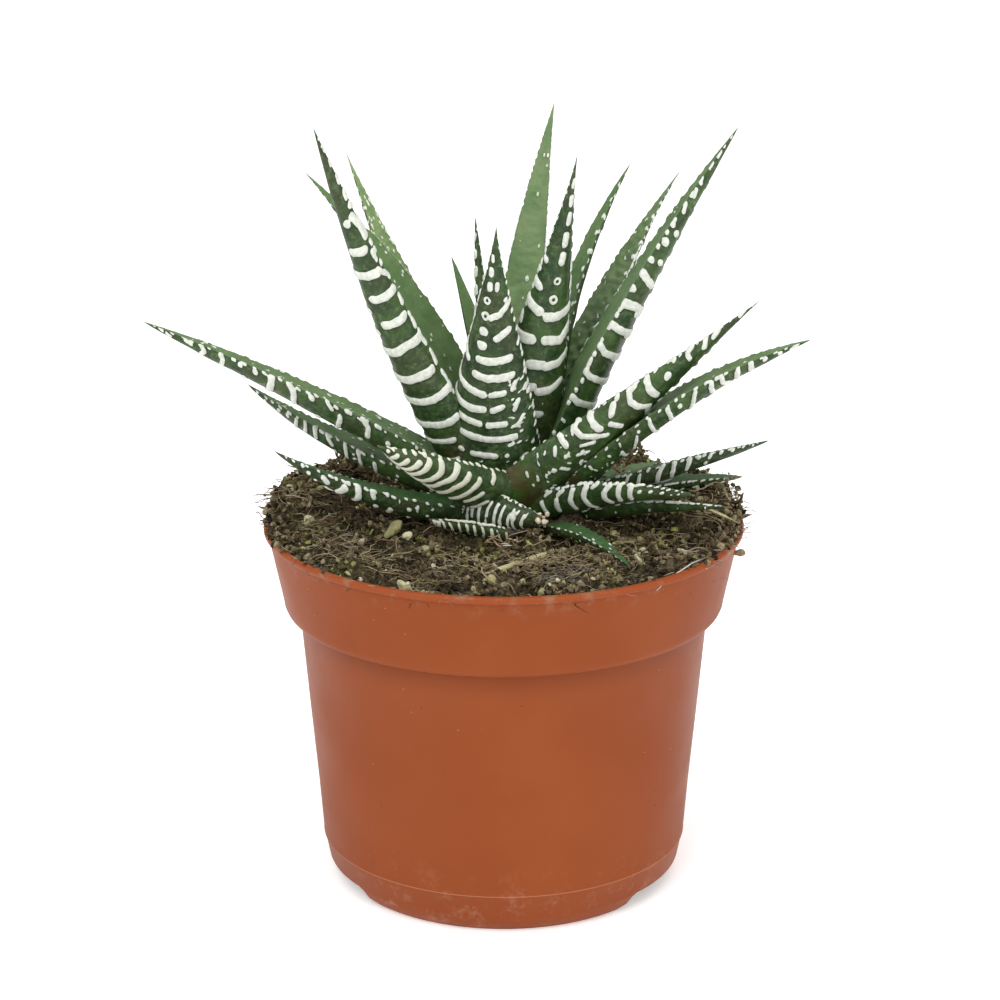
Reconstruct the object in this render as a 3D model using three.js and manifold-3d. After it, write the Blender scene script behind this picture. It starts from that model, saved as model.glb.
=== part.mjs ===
// A potted haworthia: a rosette of pointed, banded leaves on a short rooted stem, in peat soil,
// in a round plastic nursery pot. Millimetres, +Z up, origin at the centre of the pot's underside.
// The front of the plant faces -Y. Angles are in degrees round the pot: 0 is the front, 90 is +X.

import * as THREE from 'three';
import { mergeVertices } from 'three/addons/utils/BufferGeometryUtils.js';
import Module from 'manifold-3d';

const wasm = await Module();
wasm.setup();

// Driving dimensions of the pot
const RIM_RADIUS = 60;
const POT_HEIGHT = 92.8;
const LIP_HEIGHT = 1.5;
const LIP_OVERHANG = 1.1;
const WALL = 1.2;
const COLLAR_HEIGHT = 21.8;
const COLLAR_FOOT_RADIUS = 55;
const COLLAR_ROUND_WIDTH = 1.6;
const COLLAR_ROUND_HEIGHT = 3;
const BODY_TOP_RADIUS = 51.4;
const SEAM_HEIGHT = 10.7;
const SEAM_RADIUS = 46.3;
const FOOT_RADIUS = 41.6;
const POT_SIDES = 48;
const SLOT_HEIGHT = 4.5;
const SLOT_WIDTH = 22;
const SLOT_SLOPE = 2.5;
const SLOT_DEPTH_RADIUS = 37;
const SLOT_ANGLES = [61, 180, -67];

// Driving dimensions of the soil and the small litter on it
const CLEARANCE = 0.45;
const SOIL_SECTORS = 26;
const SOIL_RINGS = 6;
const SOIL_EDGE_LEVEL = 91.4;
const SOIL_EDGE_DROP = 1.4;
const SOIL_EDGE_RADIUS = 57;
const SOIL_LUMP = 0.7;

// Driving dimensions of the stem, the roots and the rosette
const ROSETTE_X = 3.5;
const ROSETTE_Y = 3;
const STEM_RADIUS = 7.5;
const STEM_TOP = 102;
const STEM_FOOT = 82;
const ROOT_COUNT = 6;
const ROOT_RADIUS = 1.7;
const ROOT_TIP_RADIUS = 0.8;
const ROOT_SIDES = 5;
const BAND_RELIEF = 0.45;
const TOOTH_RELIEF = 0.5;
const BAND_SAG = 0.16;
const LEAF_CUP = 0.08;
const LEAF_SINK = 0.05;

// The leaves from the heart of the rosette outwards. Each row is a name, the angle that the leaf points
// to, how far its tip reaches from the rosette's axis and how high it stands; the angle, distance and
// height where it leaves the stem; how far its middle bows up and sways sideways; its twist; its
// width and thickness at the foot; how fast it tapers; and how far apart its bands lie.
const LEAVES = [
  ['leaf_heart_left', -70, 11, 170, -90, 3, 104, 0, 0, 0, 8, 4, 0.9, 6],
  ['leaf_heart_back', -90, 5, 157, 150, 5, 104, 0, 0, 0, 9, 3, 0.9, 7],
  ['leaf_heart_plain', -140, 26, 155, -140, 4, 104, 2, 0, 0, 9, 3, 0.9, 8],
  ['leaf_inner_front', -17, 18, 171, -45, 8, 102, -1, 0, 0, 25, 7, 1.25, 4],
  ['leaf_inner_right', 42, 21, 188.2, -60, 3, 102, 2, 2.8, -25, 20, 6, 1.3, 5.3],
  ['leaf_back_right_slim', 122, 33, 179, 110, 7, 103, 7.5, 0, 0, 10, 3.5, 0.9, 6],
  ['leaf_back_tall', 167, 42, 190.5, 200, 8, 103, 0, 1.8, 0, 14, 5, 1, 5],
  ['leaf_back_right', 120, 47.5, 176.5, 115, 6, 103, 5, -0.5, 0, 20, 5, 1.25, 6.5],
  ['leaf_left_banded', -62, 54.2, 196, -80, 9, 103, -2.5, 0, 35, 13.5, 6, 1, 5.7],
  ['leaf_right_tall', 72, 54.5, 194.5, 75, 2, 103, 3, 0, 20, 15, 8, 1, 6.3],
  ['leaf_back_left', -120, 50, 181, -130, 9, 103, -1, 0, 0, 22, 5, 1.25, 6.5],
  ['leaf_left_behind', -98, 53, 179, -100, 7, 103, 6, 0, -25, 18, 5, 1.1, 7],
  ['leaf_right_upper', 70, 62, 154, 0, 9, 104, 0, 0, -25, 22, 7.5, 1.35, 6],
  ['leaf_right_middle', 68, 74.7, 145.6, 60, 11, 102, 5, 0, 8, 16, 6, 0.9, 5.5],
  ['leaf_left_long', -80, 91.7, 147, -80, 9, 104, 2, 0, 0, 15, 6.8, 0.9, 6],
  ['leaf_back_middle', 178, 48, 126, 178, 8, 101, 0, 0, 0, 15, 6, 0.9, 8],
  ['leaf_left_lower', -90, 67, 127, -92, 8, 101, -3, 0, 0, 14, 6, 0.9, 5],
  ['leaf_back_low_left', -158, 53, 113, -158, 8, 100, 0, 0, 0, 15, 6, 0.9, 8],
  ['leaf_front_curved', -40, 52, 123, 0, 8, 100, 0, 0, 35, 16, 6, 0.9, 3.6],
  ['leaf_side_low_left', -122, 50, 109, -122, 8, 99, 1, 0, 0, 14, 5, 0.9, 8],
  ['leaf_back_low_right', 148, 52, 106, 148, 8, 99, 1, 0, 0, 15, 6, 0.9, 8],
  ['leaf_front_left_low', -62, 66, 119, -50, 9, 98, -3, 0, 0, 14, 6, 0.9, 4.5],
  ['leaf_right_low', 90, 62.8, 112.5, 90, 10, 99, 0.5, 0, -15, 12.5, 5, 0.9, 4.2],
  ['leaf_front_right_low', 55, 52, 107.5, 40, 8, 98, 3.6, 0, -20, 17, 6, 0.8, 4],
  ['leaf_back_flat_right', 125, 46, 99, 125, 8, 96, 1, 0, 0, 12, 4, 0.9, 8],
  ['leaf_back_flat_left', -142, 45, 102, -142, 8, 96, 1, 0, 0, 13, 4, 0.9, 8],
  ['leaf_back_flat', 165, 42, 102, 165, 8, 96, 1, 0, 0, 13, 4, 0.9, 8],
  ['leaf_right_short', 95, 57, 101.5, 95, 9, 96, 2, 0, 0, 10, 4, 0.7, 5],
  ['leaf_right_under', 64, 58, 103, 62, 9, 95, 2, 0, -20, 10, 4, 0.9, 4],
  ['leaf_front_stub', 12, 27, 101, -45, 14, 98, 2, 0, -40, 12, 8, 0.5, 3.2],
  ['leaf_front_small', -45, 31, 99, -5, 22, 95.5, 1, 0, 15, 6.5, 3, 0.5, 3.2],
  ['leaf_front_arching', 32, 50.5, 93.5, 20, 18, 96, 3.2, 0, 0, 5.2, 3, 0.8, 4],
];

// Materials, one for each kind of surface
const plastic = new THREE.MeshStandardMaterial({ color: 0xa9552f, roughness: 0.5, metalness: 0 });
const peat = new THREE.MeshStandardMaterial({ color: 0x3a2c1e, roughness: 1, metalness: 0 });
const leafSkin = new THREE.MeshStandardMaterial({ color: 0x3f6b38, roughness: 0.55, metalness: 0 });
const rootSkin = new THREE.MeshStandardMaterial({ color: 0xb49a6e, roughness: 0.8, metalness: 0 });
const driedPlant = new THREE.MeshStandardMaterial({ color: 0x8d7f4c, roughness: 0.9, metalness: 0 });

const radians = THREE.MathUtils.degToRad;
const UP = new THREE.Vector3(0, 0, 1);
const ROSETTE = new THREE.Vector3(ROSETTE_X, ROSETTE_Y, 0);

// A horizontal unit vector at an angle round the pot
function outward(angle) {
  return new THREE.Vector3(Math.sin(radians(angle)), -Math.cos(radians(angle)), 0);
}

// A closed manifold solid from a three.js geometry
function solidFrom(geometry) {
  const bare = geometry.index ? geometry.toNonIndexed() : geometry.clone();
  for (const name of Object.keys(bare.attributes)) {
    if (name !== 'position') bare.deleteAttribute(name);
  }
  const merged = mergeVertices(bare, 1e-4);
  const corners = Array.from(merged.index.array);
  const kept = [];
  for (let i = 0; i < corners.length; i += 3) {
    const [a, b, c] = corners.slice(i, i + 3);
    if (a !== b && b !== c && c !== a) kept.push(a, b, c);
  }
  return new wasm.Manifold(new wasm.Mesh({
    numProp: 3,
    vertProperties: new Float32Array(merged.attributes.position.array),
    triVerts: new Uint32Array(kept),
  }));
}

// A named mesh from the largest body of a manifold solid
function meshFrom(name, solid, material) {
  const bodies = solid.decompose();
  bodies.sort((one, other) => other.volume() - one.volume());
  const result = bodies[0].getMesh();
  const geometry = new THREE.BufferGeometry();
  geometry.setAttribute('position', new THREE.BufferAttribute(new Float32Array(result.vertProperties), 3));
  geometry.setIndex(new THREE.BufferAttribute(new Uint32Array(result.triVerts), 1));
  const mesh = new THREE.Mesh(geometry, material);
  mesh.name = name;
  return mesh;
}

// A closed skin over rings of points, with a flat fan over the first ring and a point after the last
function skinOver(rings, apex) {
  const sides = rings[0].length;
  const points = rings.flat();
  const start = rings[0].reduce((sum, point) => sum.add(point), new THREE.Vector3()).divideScalar(sides);
  const startIndex = points.push(start) - 1;
  const apexIndex = points.push(apex) - 1;
  const faces = [];
  for (let k = 0; k < sides; k += 1) {
    const next = (k + 1) % sides;
    const last = (rings.length - 1) * sides;
    faces.push(startIndex, next, k, apexIndex, last + k, last + next);
    for (let i = 0; i < rings.length - 1; i += 1) {
      const low = i * sides;
      const high = low + sides;
      faces.push(low + k, low + next, high + next, low + k, high + next, high + k);
    }
  }
  const geometry = new THREE.BufferGeometry();
  geometry.setAttribute('position', new THREE.Float32BufferAttribute(points.flatMap((p) => p.toArray()), 3));
  geometry.setIndex(faces);
  return geometry;
}

// The plastic pot: a lathed shell with a stepped collar, a proud lip and a rounded foot
function potSolid() {
  const outer = [
    [FOOT_RADIUS, 0],
    [FOOT_RADIUS + 2, 1.8],
    [FOOT_RADIUS + 3.4, 4.6],
    [SEAM_RADIUS, SEAM_HEIGHT],
    [BODY_TOP_RADIUS, POT_HEIGHT - COLLAR_HEIGHT],
    [COLLAR_FOOT_RADIUS - COLLAR_ROUND_WIDTH, POT_HEIGHT - COLLAR_HEIGHT],
    [COLLAR_FOOT_RADIUS + 0.4, POT_HEIGHT - COLLAR_HEIGHT + COLLAR_ROUND_HEIGHT],
    [RIM_RADIUS - LIP_OVERHANG, POT_HEIGHT - LIP_HEIGHT],
    [RIM_RADIUS, POT_HEIGHT - LIP_HEIGHT],
    [RIM_RADIUS, POT_HEIGHT],
  ];
  const inner = innerProfile(0);
  const profile = [[0, 0], ...outer, ...inner, [0, WALL]];
  const shell = new THREE.LatheGeometry(profile.map(([r, z]) => new THREE.Vector2(r, z)), POT_SIDES);
  shell.rotateX(Math.PI / 2);
  return SLOT_ANGLES.reduce((body, angle) => body.subtract(drainSlot(angle)), solidFrom(shell));
}

// The pot's inside from the rim down to the floor, drawn in by a gap
function innerProfile(gap) {
  const step = POT_HEIGHT - COLLAR_HEIGHT + WALL;
  return [
    [RIM_RADIUS - LIP_OVERHANG - WALL + 0.3 - gap, POT_HEIGHT],
    [COLLAR_FOOT_RADIUS - WALL - gap, step + COLLAR_ROUND_HEIGHT + gap],
    [BODY_TOP_RADIUS - WALL - gap, step + gap],
    [SEAM_RADIUS - WALL - gap, SEAM_HEIGHT + gap],
    [FOOT_RADIUS + 1.2 - WALL - gap, WALL + gap],
  ];
}

// A drain slot through the pot's lower corner, with sloping ends
function drainSlot(angle) {
  const half = SLOT_WIDTH / 2;
  const outline = new THREE.Shape([
    new THREE.Vector2(-half - SLOT_SLOPE, -1),
    new THREE.Vector2(half + SLOT_SLOPE, -1),
    new THREE.Vector2(half, SLOT_HEIGHT),
    new THREE.Vector2(-half, SLOT_HEIGHT),
  ]);
  const block = new THREE.ExtrudeGeometry(outline, { depth: 20, bevelEnabled: false });
  block.rotateX(Math.PI / 2);
  block.translate(0, -SLOT_DEPTH_RADIUS, 0);
  block.rotateZ(radians(angle));
  return solidFrom(block);
}

// The height of the soil at a point: level with the rim in front, heaped at both sides and behind
function soilHeight(x, y) {
  const heap = (cx, cy, spread, height) => (
    height * Math.exp(-((x - cx) ** 2 + (y - cy) ** 2) / (2 * spread ** 2))
  );
  const rear = 3 / (1 + Math.exp((2 - y) / 7));
  const mound = heap(3, 2, 24, 4) + heap(-54, 8, 13, 6) + heap(54, 6, 12, 4.5) + rear;
  const lumps = Math.sin(x * 0.41 + 1.3) * Math.cos(y * 0.37 - 0.6) + Math.sin(x * 0.23 - y * 0.29);
  return SOIL_EDGE_LEVEL + mound + SOIL_LUMP * lumps;
}

// The soil fills the pot to the rim; its top is a heightfield of rings and sectors
function soilSolid() {
  const sides = [[SOIL_EDGE_RADIUS, SOIL_EDGE_LEVEL - SOIL_EDGE_DROP], ...innerProfile(CLEARANCE).slice(1)];
  const point = (radius, sector, height) => {
    const x = radius * Math.sin((2 * Math.PI * sector) / SOIL_SECTORS);
    const y = -radius * Math.cos((2 * Math.PI * sector) / SOIL_SECTORS);
    return new THREE.Vector3(x, y, height ?? soilHeight(x, y));
  };
  const rings = [];
  for (const [radius, height] of sides.reverse()) {
    rings.push(Array.from({ length: SOIL_SECTORS }, (_, k) => point(radius, k, height)));
  }
  for (let i = 0; i < SOIL_RINGS; i += 1) {
    const radius = SOIL_EDGE_RADIUS * Math.cos((Math.PI / 2) * (i + 0.25) / SOIL_RINGS);
    rings.push(Array.from({ length: SOIL_SECTORS }, (_, k) => point(radius, k)));
  }
  return solidFrom(skinOver(rings, point(0, 0)));
}

// The short thick stem, grown by a margin where its hole is cut
function stemSolid(margin) {
  const wide = STEM_RADIUS + margin;
  const profile = [
    [0, STEM_FOOT - margin],
    [wide * 0.6, STEM_FOOT - margin],
    [wide, STEM_FOOT + 5],
    [wide, STEM_TOP - 3],
    [wide * 0.6, STEM_TOP + margin],
    [0, STEM_TOP + margin],
  ];
  const geometry = new THREE.LatheGeometry(profile.map(([r, z]) => new THREE.Vector2(r, z)), 14);
  geometry.rotateX(Math.PI / 2);
  geometry.translate(ROSETTE_X, ROSETTE_Y, 0);
  return solidFrom(geometry);
}

// One fleshy root: it leaves the stem's foot, arches outwards and runs down through the soil
function rootSolid(index, margin) {
  const angle = 20 + (index * 360) / ROOT_COUNT;
  const reach = 24 + 5 * (index % 3);
  const depth = 24 + 7 * ((index * 2) % 5);
  const start = ROSETTE.clone().addScaledVector(outward(angle), 3).setZ(STEM_FOOT + 3);
  const bend = ROSETTE.clone().addScaledVector(outward(angle), reach).setZ(STEM_FOOT - 8);
  const end = ROSETTE.clone().addScaledVector(outward(angle + 25), reach + 3).setZ(STEM_FOOT - 20 - depth);
  const path = new THREE.QuadraticBezierCurve3(start, bend, end);
  const rings = [];
  for (let i = 0; i <= 6; i += 1) {
    const centre = path.getPoint(i / 6);
    const along = path.getTangent(i / 6);
    const side = new THREE.Vector3().crossVectors(along, outward(angle + 90)).normalize();
    const across = new THREE.Vector3().crossVectors(side, along);
    const radius = margin + THREE.MathUtils.lerp(ROOT_RADIUS, ROOT_TIP_RADIUS, i / 6);
    rings.push(Array.from({ length: ROOT_SIDES }, (_, k) => {
      const turn = (2 * Math.PI * k) / ROOT_SIDES;
      return centre.clone()
        .addScaledVector(side, radius * Math.cos(turn))
        .addScaledVector(across, -radius * Math.sin(turn));
    }));
  }
  const apex = end.clone().addScaledVector(path.getTangent(1), 2 + margin);
  const solid = solidFrom(skinOver(rings, apex));
  return solid;
}

// The stem with its roots, as one grown piece
function rootedStem(margin) {
  let body = stemSolid(margin);
  for (let i = 0; i < ROOT_COUNT; i += 1) body = body.add(rootSolid(i, margin));
  return body;
}

// A leaf's size and place, as plain names
function leafSpec(row) {
  const [name, angle, reach, tip, footAngle, footReach, footHeight, bow, sway, twist, width, thick, taper,
    spacing] = row;
  const out = outward(angle);
  const side = outward(angle + 90);
  const foot = ROSETTE.clone().addScaledVector(outward(footAngle), footReach).addScaledVector(UP, footHeight);
  const end = ROSETTE.clone().addScaledVector(out, reach).addScaledVector(UP, tip);
  const rise = end.clone().sub(foot).normalize().cross(side);
  const middle = foot.clone().add(end).multiplyScalar(0.5).addScaledVector(rise, 2 * bow)
    .addScaledVector(side, 2 * sway);
  return { name, side, foot, middle, end, twist, width, thick, taper, spacing };
}

// A ring of points round a leaf at t, from 0 at the foot to 1 at the tip. The first three points are
// the right margin, the middle of the upper face and the left margin; the rest go round the keel.
const KEEL_TURNS = [145, 90, 35];

function leafRing(leaf, t, grow, relief) {
  const s = 1 - t;
  const centre = leaf.foot.clone().multiplyScalar(s * s).addScaledVector(leaf.middle, 2 * s * t)
    .addScaledVector(leaf.end, t * t);
  const along = leaf.middle.clone().sub(leaf.foot).multiplyScalar(s)
    .addScaledVector(leaf.end.clone().sub(leaf.middle), t).normalize();
  const flatSide = leaf.side.clone().addScaledVector(along, -leaf.side.dot(along)).normalize();
  const flatUp = new THREE.Vector3().crossVectors(along, flatSide);
  const across = flatSide.clone().applyAxisAngle(along, radians(leaf.twist));
  const up = flatUp.clone().applyAxisAngle(along, radians(leaf.twist));
  const run = Math.max(Math.min(s, 1), 0.001);
  const half = (leaf.width / 2) * Math.sin((Math.PI / 2) * run ** leaf.taper);
  const thick = leaf.thick * Math.sin((Math.PI / 2) * run ** (leaf.taper * 0.85));
  const fade = Math.min(1, half / 2.5);
  const tooth = grow + relief * TOOTH_RELIEF * fade;
  const band = grow + relief * BAND_RELIEF * fade;
  const place = (u, v, sag) => centre.clone().addScaledVector(across, u).addScaledVector(up, v)
    .addScaledVector(along, -sag);
  const ring = [
    place(half + tooth, grow, 0),
    place(0, grow - 2 * LEAF_CUP * half, 0),
    place(-half - tooth, grow, 0),
  ];
  for (const turn of KEEL_TURNS) {
    const u = Math.cos(radians(turn));
    const v = Math.sin(radians(turn)) ** 0.8;
    ring.push(place(u * (half + band), -v * thick - v * band, BAND_SAG * 2 * half * v));
  }
  return ring;
}

// The length of a leaf along its spine
function leafLength(leaf) {
  return new THREE.QuadraticBezierCurve3(leaf.foot, leaf.middle, leaf.end).getLength();
}

// A leaf with its bands and margin teeth raised: crests and valleys take turns from foot to tip
function leafSolid(leaf) {
  const bands = Math.round(leafLength(leaf) / leaf.spacing);
  const rings = [leafRing(leaf, -LEAF_SINK, 0, 0)];
  for (let i = 1; i < 2 * bands; i += 1) {
    rings.push(leafRing(leaf, i / (2 * bands), 0, i % 2));
  }
  return solidFrom(skinOver(rings, leaf.end));
}

// The space that a leaf keeps for itself, its relief and a small clearance
function leafSpace(leaf) {
  const rings = [];
  const steps = 8;
  const grow = CLEARANCE + BAND_RELIEF;
  for (let i = 0; i < steps; i += 1) {
    rings.push(leafRing(leaf, -LEAF_SINK - 0.03 + (i / steps) * (1.03 + LEAF_SINK), grow, 0));
  }
  const beyond = leaf.end.clone().sub(leaf.middle).normalize().multiplyScalar(3);
  return solidFrom(skinOver(rings, leaf.end.clone().add(beyond)));
}

// Two solids are near when their boxes meet
function near(one, other) {
  const a = one.boundingBox();
  const b = other.boundingBox();
  return [0, 1, 2].every((i) => a.min[i] <= b.max[i] && b.min[i] <= a.max[i]);
}

// A dry stalk or straw that lies on the soil: a flattened tube through points of the pot's plan
function strawSolid(plan, wide, deep, lift, margin) {
  const path = new THREE.CatmullRomCurve3(plan.map(([x, y, extra]) => (
    new THREE.Vector3(x, y, soilHeight(x, y) + lift + extra)
  )));
  const steps = 8;
  const rings = [];
  for (let i = 0; i <= steps; i += 1) {
    const t = i / steps;
    const centre = path.getPoint(t);
    const along = path.getTangent(t);
    const side = new THREE.Vector3().crossVectors(along, UP).normalize();
    const up = new THREE.Vector3().crossVectors(side, along);
    const swell = 0.55 + 0.45 * Math.sin(Math.PI * Math.min(1, t * 1.2 + 0.1));
    rings.push(Array.from({ length: 6 }, (_, k) => {
      const turn = (Math.PI * k) / 3;
      return centre.clone()
        .addScaledVector(side, -(wide * swell + margin) * Math.cos(turn))
        .addScaledVector(up, (deep * swell + margin) * Math.sin(turn));
    }));
  }
  const apex = path.getPoint(1).addScaledVector(path.getTangent(1), 0.5 + margin);
  return solidFrom(skinOver(rings, apex));
}

const STRAWS = [
  { name: 'straw_front', plan: [[-4, -44, 0], [5, -37, 0.4], [12, -29, 0.2]], wide: 1.3, deep: 0.7, lift: 0.9 },
  { name: 'straw_right', plan: [[43, -2, 0.2], [51, -8, 0.6], [58.5, -15, 2.6]], wide: 1.1, deep: 0.6, lift: 0.9 },
  { name: 'bark_piece', plan: [[-40, 25, 0.4], [-34, 26, 1], [-28, 27, 0.6]], wide: 2.8, deep: 2, lift: 1.2 },
];

// Everything is cut from the inside out: each piece keeps clear of the pieces nearer to the heart
const model = new THREE.Group();
const stemSpace = stemSolid(CLEARANCE);
const placed = [];
for (const row of LEAVES) {
  const leaf = leafSpec(row);
  const whole = leafSolid(leaf);
  const cutters = [stemSpace, ...placed].filter((space) => near(whole, space));
  const trimmed = cutters.reduce((body, space) => body.subtract(space), whole);
  model.add(meshFrom(leaf.name, trimmed, leafSkin));
  placed.push(leafSpace(leaf));
}

const litter = STRAWS.map(({ plan, wide, deep, lift }) => strawSolid(plan, wide, deep, lift, CLEARANCE));
STRAWS.forEach(({ name, plan, wide, deep, lift }) => {
  const whole = strawSolid(plan, wide, deep, lift, 0);
  const trimmed = placed.filter((space) => near(whole, space)).reduce((body, space) => body.subtract(space), whole);
  model.add(meshFrom(name, trimmed, driedPlant));
});

const fullSoil = soilSolid();
const soilCutters = [rootedStem(CLEARANCE), ...placed, ...litter].filter((space) => near(fullSoil, space));
const soil = soilCutters.reduce((body, space) => body.subtract(space), fullSoil);

model.add(meshFrom('pot', potSolid(), plastic));
model.add(meshFrom('soil', soil, peat));
model.add(meshFrom('stem_with_roots', rootedStem(0), rootSkin));

export default model;
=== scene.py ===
"""A potted haworthia, dressed over its CAD model.

Shapes are worked out in millimetres in the frame of the CAD model and scaled to metres when a mesh
is made. The front of the plant faces -Y. Angles go round the pot in degrees: 0 is the front, 90 is +X.
"""
import math
from functools import lru_cache

import bmesh
import bpy
import numpy as np
from mathutils import Matrix, Vector


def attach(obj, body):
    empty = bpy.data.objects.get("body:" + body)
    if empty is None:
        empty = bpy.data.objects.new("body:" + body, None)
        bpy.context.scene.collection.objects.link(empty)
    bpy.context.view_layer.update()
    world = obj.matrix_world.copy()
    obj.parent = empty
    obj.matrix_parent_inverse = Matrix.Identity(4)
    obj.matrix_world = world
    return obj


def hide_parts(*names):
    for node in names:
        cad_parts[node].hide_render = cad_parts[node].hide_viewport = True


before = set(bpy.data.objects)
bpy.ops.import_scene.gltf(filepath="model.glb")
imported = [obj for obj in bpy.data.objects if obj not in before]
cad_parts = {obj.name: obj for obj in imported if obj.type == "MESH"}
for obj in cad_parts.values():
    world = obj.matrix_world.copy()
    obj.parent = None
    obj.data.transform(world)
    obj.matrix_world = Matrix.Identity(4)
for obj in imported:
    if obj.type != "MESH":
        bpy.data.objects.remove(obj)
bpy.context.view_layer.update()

MM = 0.001
SEED = 7
NOISE_TABLE = 64

# The pot
RIM_RADIUS = 60
POT_HEIGHT = 92.8
LIP_HEIGHT = 1.5
LIP_OVERHANG = 1.1
WALL = 1.2
COLLAR_HEIGHT = 21.8
COLLAR_FOOT_RADIUS = 55
COLLAR_ROUND_WIDTH = 1.6
COLLAR_ROUND_HEIGHT = 3
BODY_TOP_RADIUS = 51.4
SEAM_HEIGHT = 10.7
SEAM_RADIUS = 46.3
FOOT_RADIUS = 41.6
SLOT_HEIGHT = 4.5
SLOT_WIDTH = 22
SLOT_SLOPE = 2.5
SLOT_DEPTH_RADIUS = 37
SLOT_ANGLES = (61, 180, -67)

# The rosette and the relief on its leaves
ROSETTE = np.array([3.5, 3.0, 0.0])
LEAF_CUP = 0.08
LEAF_SINK = 0.05
BAND_SAG = 0.16
BAND_RELIEF = 0.5
MARGIN_ROUND = 0.4
BELLY_POWER = 0.8
DEPTH_TAPER = 0.85
MARK_HALF = 0.46
MARK_REACH = 1.2
FAR_FROM_MARKS = 5.0

# The leaves from the heart outwards, as in the CAD model. Each row is a name, the angle that the leaf
# points to, its tip's reach and height; the angle, distance and height of its foot; its bow and sway;
# its twist; its width and thickness at the foot, its taper and the spacing of its bands.
LEAVES = [
    ("leaf_heart_left", -70, 11, 170, -90, 3, 104, 0, 0, 0, 8, 4, 0.9, 6),
    ("leaf_heart_back", -90, 5, 157, 150, 5, 104, 0, 0, 0, 9, 3, 0.9, 7),
    ("leaf_heart_plain", -140, 26, 155, -140, 4, 104, 2, 0, 0, 9, 3, 0.9, 8),
    ("leaf_inner_front", -17, 18, 171, -45, 8, 102, -1, 0, 0, 25, 7, 1.25, 4),
    ("leaf_inner_right", 42, 21, 188.2, -60, 3, 102, 2, 2.8, -25, 20, 6, 1.3, 5.3),
    ("leaf_back_right_slim", 122, 33, 179, 110, 7, 103, 7.5, 0, 0, 10, 3.5, 0.9, 6),
    ("leaf_back_tall", 167, 42, 190.5, 200, 8, 103, 0, 1.8, 0, 14, 5, 1, 5),
    ("leaf_back_right", 120, 47.5, 176.5, 115, 6, 103, 5, -0.5, 0, 20, 5, 1.25, 6.5),
    ("leaf_left_banded", -62, 54.2, 196, -80, 9, 103, -2.5, 0, 35, 13.5, 6, 1, 5.7),
    ("leaf_right_tall", 72, 54.5, 194.5, 75, 2, 103, 3, 0, 20, 15, 8, 1, 6.3),
    ("leaf_back_left", -120, 50, 181, -130, 9, 103, -1, 0, 0, 22, 5, 1.25, 6.5),
    ("leaf_left_behind", -98, 53, 179, -100, 7, 103, 6, 0, -25, 18, 5, 1.1, 7),
    ("leaf_right_upper", 70, 62, 154, 0, 9, 104, 0, 0, -25, 22, 7.5, 1.35, 6),
    ("leaf_right_middle", 68, 74.7, 145.6, 60, 11, 102, 5, 0, 8, 16, 6, 0.9, 5.5),
    ("leaf_left_long", -80, 91.7, 147, -80, 9, 104, 2, 0, 0, 15, 6.8, 0.9, 6),
    ("leaf_back_middle", 178, 48, 126, 178, 8, 101, 0, 0, 0, 15, 6, 0.9, 8),
    ("leaf_left_lower", -90, 67, 127, -92, 8, 101, -3, 0, 0, 14, 6, 0.9, 5),
    ("leaf_back_low_left", -158, 53, 113, -158, 8, 100, 0, 0, 0, 15, 6, 0.9, 8),
    ("leaf_front_curved", -40, 52, 123, 0, 8, 100, 0, 0, 35, 16, 6, 0.9, 3.6),
    ("leaf_side_low_left", -122, 50, 109, -122, 8, 99, 1, 0, 0, 14, 5, 0.9, 8),
    ("leaf_back_low_right", 148, 52, 106, 148, 8, 99, 1, 0, 0, 15, 6, 0.9, 8),
    ("leaf_front_left_low", -62, 66, 119, -50, 9, 98, -3, 0, 0, 14, 6, 0.9, 4.5),
    ("leaf_right_low", 90, 62.8, 112.5, 90, 10, 99, 0.5, 0, -15, 12.5, 5, 0.9, 4.2),
    ("leaf_front_right_low", 55, 52, 107.5, 40, 8, 98, 3.6, 0, -20, 17, 6, 0.8, 4),
    ("leaf_back_flat_right", 125, 46, 99, 125, 8, 96, 1, 0, 0, 12, 4, 0.9, 8),
    ("leaf_back_flat_left", -142, 45, 102, -142, 8, 96, 1, 0, 0, 13, 4, 0.9, 8),
    ("leaf_back_flat", 165, 42, 102, 165, 8, 96, 1, 0, 0, 13, 4, 0.9, 8),
    ("leaf_right_short", 95, 57, 101.5, 95, 9, 96, 2, 0, 0, 10, 4, 0.7, 5),
    ("leaf_right_under", 64, 58, 103, 62, 9, 95, 2, 0, -20, 10, 4, 0.9, 4),
    ("leaf_front_stub", 12, 27, 101, -45, 14, 98, 2, 0, -40, 12, 8, 0.5, 3.2),
    ("leaf_front_small", -45, 31, 99, -5, 22, 95.5, 1, 0, 15, 6.5, 3, 0.5, 3.2),
    ("leaf_front_arching", 32, 50.5, 93.5, 20, 18, 96, 3.2, 0, 0, 5.2, 3, 0.8, 4),
]

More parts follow.
